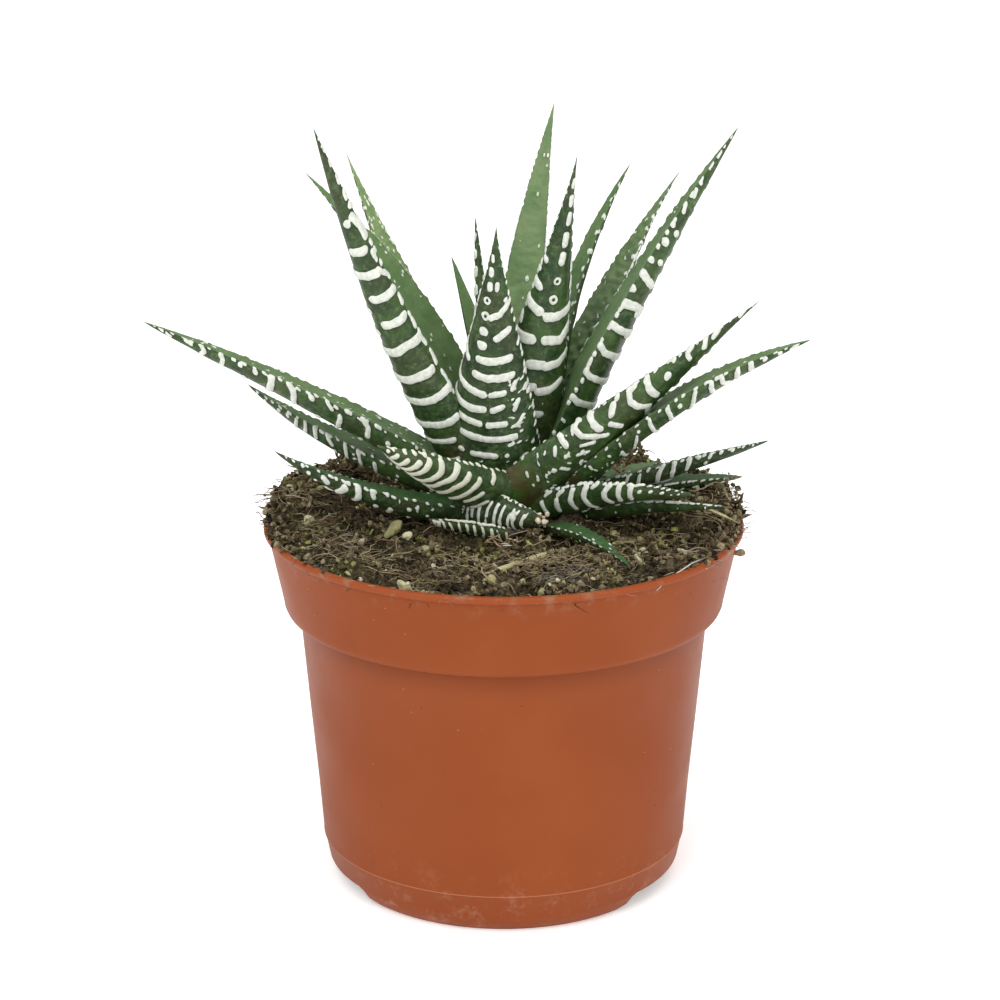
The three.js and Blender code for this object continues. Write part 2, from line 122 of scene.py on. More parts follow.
# How a leaf looks. Where it has no table of marks below, first is the distance in millimetres from the
# tip to the first mark, pitch the bands' share of the leaf's spacing, join the share of the length where
# dots join into bands, band a band's thickness and breaks the chance that it breaks. margin is the spacing
# of the margin's teeth, tooth their size and dots the number of small dots on the upper face; tint is that
# face's yellowness, grey how dull it is and wrinkles the depth of its folds. dark is how much painted
# shade darkens the lower face, cream how yellow the marks are and brown the length of the dry tip.
COMMON = dict(first=6, pitch=1, join=0.3, band=1.7, breaks=0.6, margin=2.8, tooth=0.36, dots=6, tint=0.33,
              grey=0, wrinkles=0, dark=0, cream=0.1, brown=1.2)
STYLES = {
    "leaf_inner_front": dict(margin=2.2, tint=0.12, dark=0.3, tooth=0.5),
    "leaf_inner_right": dict(margin=3, tooth=0.5),
    "leaf_left_banded": dict(margin=3.2, tooth=0.62),
    "leaf_right_tall": dict(margin=3.6, tooth=0.55),
    "leaf_front_curved": dict(margin=2.2, cream=0.45, tint=0),
    "leaf_front_right_low": dict(margin=1.5, tint=0.05),
    "leaf_front_left_low": dict(tint=0.04, dark=0.5),
    "leaf_right_upper": dict(margin=3.2, tint=0.1),
    "leaf_right_middle": dict(margin=3, dots=14, tint=0.45),
    "leaf_left_long": dict(margin=2.6, dots=60, tint=0.42, wrinkles=0.15),
    "leaf_left_lower": dict(margin=2.2, dots=30, tint=0.35),
    "leaf_right_low": dict(margin=2, tint=0.03, dark=0.5),
    "leaf_right_short": dict(margin=1.8, brown=4, tint=0.05),
    "leaf_right_under": dict(first=4, join=0.9, band=0.9, breaks=0.3, margin=1.2, brown=3.5,
                             tint=0.1),
    "leaf_front_stub": dict(first=2.5, pitch=0.65, join=0, band=0.95, breaks=0.5, margin=1.3, tint=0,
                            dots=0, dark=0.6, brown=0.4),
    "leaf_front_small": dict(first=1.5, pitch=0.6, join=0, band=0.8, breaks=0.4, margin=1.3, cream=0.5,
                             tint=0, dark=0.35),
    "leaf_front_arching": dict(first=3, join=0.9, band=0.9, margin=2.4, tint=0),
    "leaf_back_left": dict(dots=130, tint=1, join=0.5, wrinkles=0.2),
    "leaf_left_behind": dict(dots=40, tint=0.4),
    "leaf_back_tall": dict(dots=12, tint=0.55, margin=1.7, grey=0.2, wrinkles=0.18, tooth=0.5),
    "leaf_back_right": dict(dots=22, tint=0.42, margin=2, grey=0.35, wrinkles=0.8),
    "leaf_back_right_slim": dict(join=0.9, first=8, tint=0.28, margin=3.5, dots=0),
    "leaf_heart_plain": dict(first=60, margin=40, dots=0),
    "leaf_heart_back": dict(first=60, margin=3),
}
HIDDEN = ("leaf_back_middle", "leaf_back_low_left", "leaf_back_low_right", "leaf_side_low_left",
          "leaf_back_flat", "leaf_back_flat_left", "leaf_back_flat_right")
BOTH_FLANKS = ("leaf_left_banded", "leaf_inner_front", "leaf_inner_right", "leaf_front_curved")

# The marks that the photo shows clearly, read off leaf by leaf. Each mark is its thickness and then the
# points that it runs through: a distance from the leaf's tip in millimetres and a place across the lower
# face, from the left margin at -1 past the keel at 0 to the right margin at 1.
MARKS = {
    "leaf_left_banded": (
        (0.8, 5, 0.9), (1.1, 9, 0.9, 10, 0.9), (1.2, 13, 0.9, 14.5, 0.9), (1.5, 17, 0.9, 18.5, 0.88),
        (1.9, 20.5, 0.85), (2.2, 24, 0.15), (2, 23, 0.6, 25, 0.8, 29, 0.9), (2.4, 31, -0.1, 31.4, 0.45),
        (1.4, 33, 0.75, 35.5, 0.85), (2.4, 37, -0.7, 37, -0.3, 37.3, 0.1, 37.8, 0.6),
        (1.3, 38, 0.7, 40.5, 1), (2.3, 43.5, -0.05, 43.8, 0.4, 44, 0.85), (1.3, 46.5, 0.95, 48.5, 0.95),
        (1.7, 47, -0.8, 47, -0.45), (2.3, 50.5, 0, 50.8, 0.4, 51, 0.75), (1.4, 53.5, 0.95, 55.5, 0.95),
        (1.7, 53, -0.8, 53, -0.45), (2.5, 58.5, -0.8, 57.9, 0, 57.2, 0.4, 58, 0.85),
        (1.3, 58.5, 0.9, 61, 1), (2.5, 65.7, -0.85, 65.8, 0, 65.8, 0.35, 66.5, 0.7),
        (1.6, 64, 1, 66.5, 0.95), (1.4, 70, 1, 72, 1),
        (2.3, 72, -0.85, 72.3, -0.1, 72.8, 0.3, 73, 0.65, 74, 0.95),
        (2.2, 79, -0.85, 79.2, -0.1, 79.8, 0.2, 80.5, 0.65), (1.7, 84.5, -0.7, 84.3, -0.1, 85, 0.3),
        (1.5, 90, -0.6, 90.3, 0.3),
    ),
    "leaf_inner_front": (
        (1.1, 7.3, -0.2, 8.3, -0.2), (1.4, 10.5, -0.2, 11.5, -0.2), (1.7, 14, -0.2, 14.5, -0.2),
        (1.2, 13.6, 0.3, 14.8, 0.3), (1.1, 13.5, -0.9), (1.2, 17.5, 0.7), (1.3, 18.5, -0.95),
        (1.6, 21.3, 0, 20.5, 0.35, 18.7, 0.75), (1.4, 22.5, -0.9), (2.1, 24.7, -0.28, 24.7, -0.2),
        (1.8, 26, 0.22, 24.3, 0.6), (1.4, 26.5, -0.95), (2.2, 27.9, -0.3, 27.9, -0.22),
        (1.8, 29.5, -0.88, 32, -0.68), (1.4, 28.5, 0.9), (1.9, 31.3, -0.3, 31.3, 0.1, 30.8, 0.55),
        (2, 35, -0.35, 35.3, 0, 34.8, 0.55), (1.9, 37.3, -0.97, 38.7, -0.5, 39.3, -0.1),
        (1.6, 39.2, 0.06, 38.6, 0.35), (1.4, 38, 0.55, 36.8, 0.6),
        (1.9, 42.3, -0.97, 43, -0.6, 43.2, -0.3, 42.8, -0.08), (1.5, 42.8, 0.1, 41.9, 0.3),
        (1.2, 43, 0.55, 41, 0.62), (1.8, 45.8, -0.97, 46.3, -0.5, 46.4, -0.15), (1.6, 46.5, 0.02, 46, 0.35),
        (1.2, 46.5, 0.6, 45, 0.68), (1.8, 49.5, -0.97, 49.8, -0.5, 50, 0, 49.4, 0.5), (1.5, 53.8, -0.88),
        (1.4, 54, -0.6, 54.2, -0.45), (1.6, 54.2, -0.25, 54, 0.15), (1.3, 54, 0.35),
        (1.3, 58, -0.8, 58.3, -0.5), (1.3, 58.5, -0.2, 58.3, 0.3), (1.2, 62, -0.5, 62, 0.2),
    ),
    "leaf_inner_right": (
        (0.9, 7, 0.2, 9, 0.2), (1.2, 11.3, 0.2, 13.3, 0.2), (1.3, 15.5, 0.18, 18, 0.18),
        (1.7, 20.8, 0.12, 23.2, 0.12), (1.8, 25.7, 0.1, 27.8, 0.1), (1.6, 31, -0.95), (1.8, 28, -0.75),
        (2.4, 34.3, -0.85, 34.6, -0.68), (1.6, 28.5, 0.85, 30.5, 0.85), (1.7, 33, 0.85, 35, 0.85),
        (1.7, 37, 0.88), (2.6, 39.2, -0.95, 39.8, -0.7, 40.3, -0.42),
        (2.5, 41.3, -0.12, 41, 0.3, 39.8, 0.75), (1.8, 43.5, -0.95, 45, -0.95),
        (2.7, 48.3, -0.9, 47.5, -0.42), (2.6, 47, -0.02, 47.2, 0.45, 44.8, 0.75),
        (2.4, 55.3, -0.78, 54.5, -0.5), (2.6, 53.5, -0.3, 53.3, 0), (2.4, 53.7, 0.14, 53, 0.5, 51.5, 0.75),
        (2.3, 59.5, -0.42, 59, -0.1), (2.2, 60, 0.04, 59.6, 0.35, 58, 0.6), (2, 66, -0.18, 65.8, 0.2),
        (1.6, 72, -0.2, 72, 0.1),
    ),
    "leaf_right_tall": (
        (0.7, 7, -0.9, 8.7, -0.9), (0.8, 12, -0.9), (1.1, 15.5, 0), (1.3, 16, -0.9),
        (1.2, 18, -0.85, 19.5, -0.8), (1.3, 22.5, -0.9, 24, -0.85), (1.3, 23, 0), (1.8, 28, -0.95),
        (1.8, 29.3, -0.55), (1.4, 29.5, 0.05), (2.3, 32.5, -0.82), (1.5, 34, 0.05), (2, 37.3, -0.55),
        (1.8, 38, -0.92), (1.5, 39, 0.05), (2.3, 42, -0.9, 43.3, -0.45), (1.5, 44.5, 0.05),
        (2, 46.5, -0.95), (2.4, 50.8, -0.95, 49.7, -0.6, 50.3, -0.15, 50.5, 0.4), (1.4, 52.7, -1),
        (2.1, 57, -0.97, 56.8, -0.75, 56.5, -0.3, 56.5, 0.4),
        (2.1, 63, -0.97, 63.8, -0.8, 63, -0.1, 63, 0.45), (1.1, 67, -1, 69, -1),
        (2, 70.5, -0.97, 71, -0.85, 69.8, -0.1, 70, 0.45),
        (1.9, 78, -0.97, 78.3, -0.85, 77, -0.2, 77.3, 0.45), (1.2, 84.5, -0.9), (1.7, 85, -0.6, 84.5, 0.3),
    ),
    "leaf_right_upper": (
        (0.9, 5, -0.9, 7, -0.85), (1.5, 12.8, -0.82, 14.5, -0.75), (1.5, 16.5, -0.85, 17.6, -0.5),
        (1.4, 20.3, -0.92, 21.8, -0.85, 21.8, -0.5), (1.5, 25.5, -0.93), (2.2, 28.3, -0.52),
        (1.9, 33.2, -0.88, 33.4, -0.55, 33, -0.2),
        (1.8, 36.5, -0.9, 38.2, -0.9, 38.7, -0.65, 38, -0.4, 36.2, -0.05), (1.6, 41.5, -0.93),
        (2, 43, -0.8, 44, -0.7), (1.6, 45.3, -0.5, 43.8, -0.2), (1.1, 46.5, -1),
        (1.8, 49.3, -0.97, 49, -0.75, 48, -0.55),
        (1.4, 52.6, -0.98, 53.8, -0.88, 52.8, -0.7, 50, -0.5, 47.5, -0.3), (1.6, 58, -0.92, 57, -0.7),
        (1.1, 54, -0.55, 51, -0.38), (1.1, 56, -0.42, 53.5, -0.28), (1.3, 58.5, -0.55),
        (1.1, 60, -0.8, 60.5, -0.7), (1.1, 61, -0.4, 60, -0.25),
    ),
    "leaf_right_middle": (
        (0.8, 3.5, -0.7, 5, -0.7), (1.3, 7.7, -0.7), (1.3, 11.5, -0.82), (1.5, 15, -0.88, 15.5, -0.4),
        (1.6, 18.8, -0.8, 19.3, -0.5), (1.4, 23, -0.95, 22.8, -0.6, 21.3, -0.4),
        (1.6, 25.8, -0.88, 26.2, -0.5), (1.6, 27.5, -0.1, 28.5, -0.05),
        (1.3, 30.3, -0.85, 32, -0.5, 34, -0.15), (1.6, 35, -0.75),
        (1.5, 38.3, -0.88, 38.2, -0.65, 38.8, -0.4), (1.2, 43.8, -0.9, 44.2, -0.1), (1, 47.5, -0.8),
        (1.1, 48.5, -0.7, 51.5, -0.3), (1.1, 54, -0.6, 54.6, -0.2), (1, 58, -0.5),
    ),
    "leaf_left_long": (
        (0.6, 4, 0.8, 5, 0.8), (0.9, 6.2, 0.6, 7, 0.6), (1, 10.8, 0.82, 12.3, 0.82),
        (1.3, 15, 0.9, 15.8, 0.75, 15.3, 0.45), (1.4, 20, 0.9, 20.6, 0.7, 20.6, 0.3), (1.5, 25, 0.86),
        (1.7, 26.6, 0.3), (1.6, 29, 0.86), (1.9, 33.3, 0.9, 33.4, 0.1),
        (1.7, 37.7, 0.95, 39.1, 0.85, 40, 0.4), (1.8, 44, 0.88), (2, 46.8, 0.3),
        (1.2, 48, 0.97, 49.5, 0.86), (1.5, 52, 0.75, 52.5, 0.15), (1.1, 53.2, 0.98, 54.5, 0.97),
        (1.5, 57.8, 0.97, 59.5, 0.85, 60, 0.6), (1.9, 58.8, 0.3), (1.2, 61.5, 0.97, 62.7, 0.97),
        (1.7, 65.5, 0.7), (1.5, 64.5, 0.4), (1.1, 71.3, 0.75, 71.7, 0.55), (1, 73, 0.95),
    ),
    "leaf_left_lower": (
        (0.8, 3, 0.6), (0.9, 5.5, 0.5), (0.9, 8, 0.4), (1, 9.5, 0.7), (1.1, 12, 0.75),
        (1.2, 14.5, 0.8, 14.8, 0.4), (1.2, 17, 0.9, 17.3, 0.5), (1.2, 19.5, 0.92, 20.3, 0.6),
        (1.2, 22.8, 0.95, 24.5, 0.7), (1.1, 25.5, 0.45), (1.2, 28, 0.9, 28.8, 0.5),
        (1.2, 31.5, 0.92, 32.5, 0.5), (1.1, 36, 0.8, 36.5, 0.4), (1.1, 42, 0.7),
    ),
    "leaf_front_left_low": (
        (0.8, 5, 0.95), (1.1, 7.5, 0.92), (1.2, 9.5, 0.6), (1.5, 13.3, 0.7, 14.6, 0.6), (1.1, 12, 0.3),
        (1.2, 16.5, 0.95), (1.4, 19.8, 0.95), (2.1, 19, 0.7, 18.2, 0.25), (1.6, 15.5, 0.05, 16.3, 0),
        (1.7, 22.3, 0.92, 23, 0.5, 23, 0.1), (1.4, 26, 0.93, 26.6, 0.75), (1.7, 28, 0.4), (1.2, 30, 0.97),
        (1.6, 31.5, 0.5, 32, 0.2), (1.3, 36, 0.7), (1.4, 37, 0.3), (1.2, 41, 0.6), (1.3, 45, 0.4),
    ),
    "leaf_front_curved": (
        (1, 3, 0.3), (1.1, 4.2, 0.75), (1.5, 5.2, -0.1, 5.5, 0.3), (1.3, 7.2, 0.82),
        (1.6, 8, -0.5, 8.5, 0.3), (1.4, 10, 0.86), (1.8, 10.5, -0.5, 11, 0, 11.5, 0.45), (1.4, 12.8, 0.9),
        (1.8, 13.2, -0.6, 13.6, 0.1, 14, 0.7), (1.9, 16.5, -0.6, 17.3, 0, 17.8, 0.45, 17.3, 0.8),
        (1.9, 20.3, -0.6, 20, 0, 21.5, 0.4, 22.1, 0.8), (1.8, 24.2, -0.5, 24, 0.1, 25.2, 0.4, 25.6, 0.65),
        (1.7, 27.7, -0.4, 28.2, 0.2, 29, 0.6), (1.5, 30.7, -0.2, 31.7, 0.3), (1.4, 33, 0.65, 33.5, 0.85),
        (1.5, 34.5, -0.3, 35, 0.1), (1.3, 38, 0.4), (1.3, 39, -0.2),
        (1.2, 0.5, -0.8, 8, -0.86, 16, -0.82, 24, -0.78),
    ),
    "leaf_right_low": (
        (0.7, 4.2, -0.8), (0.9, 6.7, -0.9), (1.2, 9.4, -0.9), (1.1, 12.3, -0.92),
        (1.1, 14.8, -0.95, 15.2, -0.85), (1.1, 16.2, -0.55), (1.2, 18, -0.95),
        (1.4, 20.3, -0.95, 20.8, -0.5), (1.3, 24.2, -0.97, 24.6, -0.35),
        (1.4, 27, -0.97, 28, -0.75, 28.3, -0.25), (0.9, 31, -0.93), (1, 33, -0.85, 33.3, -0.3),
        (0.9, 36, -0.9, 37, -0.4), (1.1, 25, 0, 26.5, 0.05), (1, 39.5, -0.7),
    ),
    "leaf_right_short": (
        (0.6, 1.8, -0.5), (0.9, 4.3, -0.5, 5.2, -0.5), (1, 8, -0.5, 9, -0.5), (1.1, 11.5, -0.5, 12.2, -0.5),
        (1.2, 15, -0.5, 15.5, -0.4), (1.2, 18.5, -0.6, 18.8, -0.2), (1.2, 22, -0.6, 22.3, 0),
        (1.1, 26, -0.6, 26.3, -0.1),
    ),
    "leaf_front_right_low": (
        (0.6, 3.5, -0.7), (0.7, 5, -0.6), (1.1, 7.3, -0.68), (1.2, 9.8, -0.7), (1.3, 12.3, -0.7),
        (1.4, 14.6, -0.88, 14.6, -0.35), (1.5, 17.4, -0.88, 17.5, -0.3),
        (1.6, 20, -0.88, 21, -0.72, 21, -0.5, 20, -0.2), (1.4, 23.3, -0.93, 24, -0.88),
        (1.6, 25.8, -0.88, 26.3, -0.65, 25.8, -0.3, 25, -0.1), (1.6, 29.3, -0.85, 30, -0.6, 29.8, -0.3),
        (1.3, 32.2, -0.88, 33.3, -0.83), (1.5, 33.8, -0.7, 34.2, -0.4), (1, 35.5, -0.92, 37, -0.88),
        (1.4, 38, -0.75, 37.7, -0.45), (1.3, 29, 0), (1.3, 32, 0), (1.2, 26.5, 0.1), (1.2, 41, -0.6),
    ),
    "leaf_heart_left": (
        (0.8, 4, 0.2, 5.2, 0.2), (1, 8, 0.2, 9.5, 0.2), (1.2, 12, 0.2, 13.8, 0.2),
        (1.3, 16.5, 0.15, 18, 0.15), (1.4, 21, 0.1, 22, 0.1), (1.4, 25.5, 0), (1.4, 30, -0.2),
    ),
}

# Round marks with a dark pit in the middle: distance from the tip, place across and radius
PIT_SHARE = 0.4
PITTED = {
    "leaf_inner_front": ((17.5, -0.25, 0.95), (21.1, -0.25, 1.05)),
    "leaf_inner_right": ((32.3, 0.02, 1.05), (36.9, 0, 1.15)),
}

# Marks on the upper face, in rows like those of MARKS
UPPER_MARKS = {
    "leaf_back_right_slim": (
        (1.1, 6, -0.7), (1.3, 10.5, -0.7), (1.5, 15, -0.72), (1.6, 19.5, -0.75), (1.7, 24.5, -0.78),
        (1.7, 29, -0.8), (1.6, 33.5, -0.8), (1.6, 38, -0.8),
    ),
    "leaf_back_right": (
        (0.9, 6.5, -0.78), (1.1, 10.5, -0.78), (1.3, 14.5, -0.8), (1.4, 18, -0.8), (1.3, 22, -0.82),
        (1.4, 26, -0.82), (1.5, 30.5, -0.82), (1.4, 35, -0.85), (0.8, 43, 0.1), (1.2, 46, -0.2),
        (0.7, 41, -0.35),
    ),
    "leaf_back_tall": ((1.6, 46, -0.12),),
    "leaf_front_stub": (
        (0.9, 2.5, -0.8, 3, -0.4), (0.9, 4.5, -0.85, 5, -0.3), (1, 6.5, -0.85, 7.2, -0.2),
        (1, 8.5, -0.85, 9.4, -0.1), (1, 10.6, -0.85, 11.6, 0), (1, 12.8, -0.85, 13.8, 0),
        (0.9, 15, -0.8, 16, -0.1), (0.9, 17.2, -0.8, 18, -0.2), (0.8, 3, 0.5), (0.8, 5, 0.6),
        (0.8, 7, 0.65), (0.8, 9, 0.7), (0.8, 11, 0.7), (0.8, 13, 0.7), (0.8, 15, 0.7),
    ),
}

# Small dots strewn over a part of the lower face: how many, the distances from the tip that they lie
# between and the places across that they lie between
SPECKLES = {
    "leaf_inner_front": ((46, 33, 60, 0.42, 0.95), (12, 54, 66, -0.9, 0.4)),
    "leaf_inner_right": ((10, 60, 80, -0.8, 0.7),),
    "leaf_right_upper": ((26, 54, 70, -0.95, 0.1),),
    "leaf_right_middle": ((14, 52, 72, -0.9, 0),),
    "leaf_left_lower": ((16, 30, 60, 0.1, 0.9),),
    "leaf_left_long": ((14, 68, 90, 0.1, 0.9),),
    "leaf_front_left_low": ((12, 30, 55, 0, 0.9),),
}


def outward(angle):
    """A horizontal unit vector at an angle round the pot."""
    turn = math.radians(angle)
    return np.array([math.sin(turn), -math.cos(turn), 0.0])


def unit(rows):
    """Rows of vectors scaled to length 1."""
    return rows / np.linalg.norm(rows, axis=-1, keepdims=True)


def smooth(value, low, high):
    """0 below low, 1 above high and a smooth step between."""
    share = np.clip((value - low) / (high - low), 0, 1)
    return share * share * (3 - 2 * share)


def lattice_noise(x, y, seed):
    """Smooth noise from -1 to 1 with one swell for each unit of x and y."""
    table = np.random.default_rng(seed).uniform(-1, 1, (NOISE_TABLE, NOISE_TABLE))
    column = np.floor(x).astype(int)
    row = np.floor(y).astype(int)
    u = x - column
    v = y - row
    u = u * u * (3 - 2 * u)
    v = v * v * (3 - 2 * v)

    def corner(i, j):
        return table[(column + i) % NOISE_TABLE, (row + j) % NOISE_TABLE]

    low = corner(0, 0) * (1 - u) + corner(1, 0) * u
    high = corner(0, 1) * (1 - u) + corner(1, 1) * u
    return low * (1 - v) + high * v


# Node materials

class Shader:
    """A material with a Principled shader and short ways to add nodes to it."""

    def __init__(self, name):
        self.material = bpy.data.materials.new(name)
        self.material.use_nodes = True
        self.tree = self.material.node_tree
        self.surface = self.tree.nodes["Principled BSDF"]
        self.place = self.node("TexCoord", "Object", {})

    def link(self, source, socket):
        """Puts a node's output, or a plain value, into a socket."""
        if isinstance(source, bpy.types.NodeSocket):
            self.tree.links.new(source, socket)
        elif isinstance(source, tuple) and len(source) == 3 and socket.type == "RGBA":
            socket.default_value = (*source, 1)
        else:
            socket.default_value = source

    def node(self, kind, output, inputs, **settings):
        """A new node's output; inputs holds what goes into each socket."""
        node = self.tree.nodes.new("ShaderNode" + kind)
        for key, setting in settings.items():
            setattr(node, key, setting)
        for key, source in inputs.items():
            self.link(source, node.inputs[key])
        return node.outputs[output]

    def attribute(self, name):
        return self.node("Attribute", "Fac", {}, attribute_name=name)

    def noise(self, size, detail=3, rough=0.55):
        """Noise whose swells are about size metres across."""
        inputs = {"Vector": self.place, "Scale": 1 / size, "Detail": detail, "Roughness": rough}
        return self.node("TexNoise", "Fac", inputs)

    def stretched(self, stretch):
        """The object's coordinates, scaled on each axis."""
        return self.node("Mapping", "Vector", {"Vector": self.place, "Scale": stretch})

    def cells(self, size, place=None):
        """The distance to the nearest of scattered points, which are about size metres apart."""
        return self.node("TexVoronoi", "Distance", {"Vector": place or self.place, "Scale": 1 / size})

    def step(self, value, low, high, start=0.0, end=1.0):
        """A smooth step of value from start at low to end at high."""
        inputs = {"Value": value, "From Min": low, "From Max": high, "To Min": start, "To Max": end}
        return self.node("MapRange", "Result", inputs, interpolation_type="SMOOTHSTEP")

    def add(self, first, second):
        return self.node("Math", 0, {0: first, 1: second}, operation="ADD")

    def times(self, first, second):
        return self.node("Math", 0, {0: first, 1: second}, operation="MULTIPLY")

    def mix(self, share, first, second):
        """A colour from first, where share is 0, to second, where it is 1."""
        return self.node("Mix", 2, {0: share, 6: first, 7: second}, data_type="RGBA")

    def height(self):
        """The height over the floor, in metres."""
        return self.node("SeparateXYZ", "Z", {0: self.place})

    def bump(self, value, distance, strength=1.0, under=None):
        inputs = {"Height": value, "Distance": distance, "Strength": strength}
        if under is not None:
            inputs["Normal"] = under
        return self.node("Bump", "Normal", inputs)

    def finish(self, colour, roughness, normal=None, **sockets):
        """Fills the Principled shader's sockets; **sockets holds plain values by socket name."""
        self.link(colour, self.surface.inputs["Base Color"])
        self.link(roughness, self.surface.inputs["Roughness"])
        if normal is not None:
            self.link(normal, self.surface.inputs["Normal"])
        for key, number in sockets.items():
            self.surface.inputs[key.replace("_", " ")].default_value = number
        return self.material


def leaf_material():
    """Green skin with raised white marks; the lower face is darker than the upper one, partly by painted
    shade.
    """
    shader = Shader("leaf skin")
    mark = shader.attribute("mark")
    face = shader.attribute("face")
    foot = shader.attribute("foot")
    mottle = shader.noise(0.006, 4)
    speckle = shader.noise(0.0011, 2)
    cloud = shader.noise(0.014, 2)
    lower = shader.mix(shader.step(mottle, 0.35, 0.7), (0.014, 0.037, 0.009), (0.044, 0.09, 0.02))
    # Painted shade: the dark value darkens the lower face of leaves that lie in the shadow of others.
    lower = shader.mix(shader.attribute("dark"), lower, (0.006, 0.014, 0.005))
    upper = shader.mix(shader.step(mottle, 0.3, 0.72), (0.17, 0.275, 0.1), (0.29, 0.4, 0.165))
    upper = shader.mix(shader.attribute("tint"), (0.028, 0.08, 0.022), upper)
    dull = shader.times(shader.attribute("grey"), shader.step(cloud, 0.35, 0.6, 0.3, 1))
    upper = shader.mix(dull, upper, (0.14, 0.165, 0.11))
    lower = shader.mix(shader.step(cloud, 0.45, 0.65, 0, 0.6), lower, (0.042, 0.05, 0.018))
    green = shader.mix(face, lower, upper)
    streaks = shader.step(shader.noise(0.0016, 4, 0.7), 0.5, 0.72, 0, 0.35)
    green = shader.mix(streaks, green, (0.2, 0.29, 0.13))
    green = shader.mix(shader.step(speckle, 0.42, 0.75, 0, 0.2), green, (0.12, 0.2, 0.07))
    fresh = shader.mix(shader.step(cloud, 0.4, 0.62), (0.045, 0.12, 0.012), (0.07, 0.035, 0.014))
    green = shader.mix(shader.step(foot, 0.1, 0.8, 0, 0.75), green, fresh)
    # Painted shade: the last part of the foot darkens almost to black, deep in the rosette.
    green = shader.mix(shader.step(foot, 0.8, 1, 0, 0.7), green, (0.012, 0.012, 0.007))
    # Painted shade: a dark ring round each raised mark and in its pit.
    painted_shade_round_marks = shader.times(shader.step(mark, 0.3, 0.46, 0, 0.5), shader.step(face, 0, 1, 1, 0.1))
    green = shader.mix(painted_shade_round_marks, green, (0.01, 0.026, 0.008))
    pearl = shader.mix(shader.step(speckle, 0.3, 0.7), (0.56, 0.59, 0.53), (0.74, 0.76, 0.7))
    pearl = shader.mix(shader.attribute("cream"), pearl, (0.66, 0.64, 0.45))
    pearl = shader.mix(shader.step(foot, 0.2, 1, 0, 0.7), pearl, (0.2, 0.21, 0.13))
    colour = shader.mix(shader.step(mark, 0.475, 0.53), green, pearl)
    colour = shader.mix(shader.step(shader.attribute("tip"), 0.2, 1, 0, 0.8), colour, (0.2, 0.12, 0.06))
    roughness = shader.mix(face, (0.42, 0.42, 0.42), (0.56, 0.56, 0.56))
    fine = shader.bump(shader.cells(0.00042), 0.00006, 0.5)
    normal = shader.bump(shader.noise(0.0022, 3), 0.00035, 0.5, fine)
    return shader.finish(colour, roughness, normal, Specular_IOR_Level=0.3)


def plastic_material():
    """Terracotta-coloured plastic, satin, with specks of peat, pale scuffs, dust near the lip, a painted
    highlight on the lip and painted shade under the collar.
    """
    shader = Shader("pot plastic")
    height = shader.height()
    cloud = shader.noise(0.035, 3)
    colour = shader.mix(shader.step(cloud, 0.35, 0.7), (0.245, 0.056, 0.0155), (0.265, 0.063, 0.018))
    # Painted shade below the collar's step, where the collar shadows the body.
    painted_shade_under_collar = shader.times(shader.step(height, 0.063, 0.0705), shader.step(height, 0.0712, 0.0708))
    colour = shader.mix(shader.times(painted_shade_under_collar, 0.4), colour, (0.14, 0.03, 0.008))
    # Painted highlight: the lip is drawn lighter than the rest of the pot.
    lip = shader.step(height, 0.0905, 0.0915)
    colour = shader.mix(shader.times(lip, 0.6), colour, (0.3, 0.066, 0.02))
    patches = shader.step(shader.noise(0.006, 5, 0.7), 0.5, 0.68)
    dust = shader.times(shader.step(height, 0.086, 0.093), patches)
    colour = shader.mix(shader.times(dust, 0.55), colour, (0.3, 0.2, 0.13))
    low_patches = shader.step(shader.noise(0.005, 6, 0.75), 0.5, 0.75)
    low_dust = shader.times(shader.step(height, 0.022, 0.002), low_patches)
    colour = shader.mix(shader.times(low_dust, 0.25), colour, (0.6, 0.42, 0.3))
    rare = shader.step(shader.noise(0.012, 2), 0.56, 0.62)
    specks = shader.times(shader.step(shader.cells(0.0042), 0.085, 0.05), rare)
    colour = shader.mix(shader.times(specks, 0.8), colour, (0.1, 0.04, 0.02))
    dashes = shader.step(shader.cells(0.008, shader.stretched((1, 1, 3))), 0.045, 0.02)
    colour = shader.mix(shader.times(dashes, 0.5), colour, (0.6, 0.36, 0.22))
    seam = shader.times(shader.step(height, 0.01065, 0.01075), shader.step(height, 0.01095, 0.01085))
    colour = shader.mix(shader.times(seam, 0.35), colour, (0.6, 0.3, 0.18))
    roughness = shader.step(shader.noise(0.02, 4), 0.3, 0.7, 0.4, 0.5)
    normal = shader.bump(shader.noise(0.0009, 2), 0.00002, 0.35)
    normal = shader.bump(shader.noise(0.03, 1), 0.0006, 0.35, normal)
    return shader.finish(colour, roughness, normal, Specular_IOR_Level=0.08)


def soil_material():
    """Moist peat: dark brown crumbs with paler fibres and a film of moss and algae."""
    shader = Shader("peat soil")
    coarse = shader.noise(0.0035, 5, 0.65)
    fine = shader.noise(0.0009, 4, 0.7)
    colour = shader.mix(shader.step(fine, 0.35, 0.7), (0.009, 0.007, 0.004), (0.1, 0.074, 0.038))
    colour = shader.mix(shader.step(coarse, 0.5, 0.72, 0, 0.8), colour, (0.19, 0.15, 0.09))
    moss = shader.times(shader.step(shader.noise(0.015, 4, 0.65), 0.48, 0.62),
                       shader.step(shader.noise(0.0016, 3), 0.42, 0.62))
    colour = shader.mix(shader.times(moss, 0.8), colour, (0.16, 0.155, 0.05))
    normal = shader.bump(fine, 0.0009, 1)
    normal = shader.bump(shader.noise(0.0004, 2), 0.0003, 0.8, normal)
    return shader.finish(colour, 0.92, normal, Specular_IOR_Level=0.15)


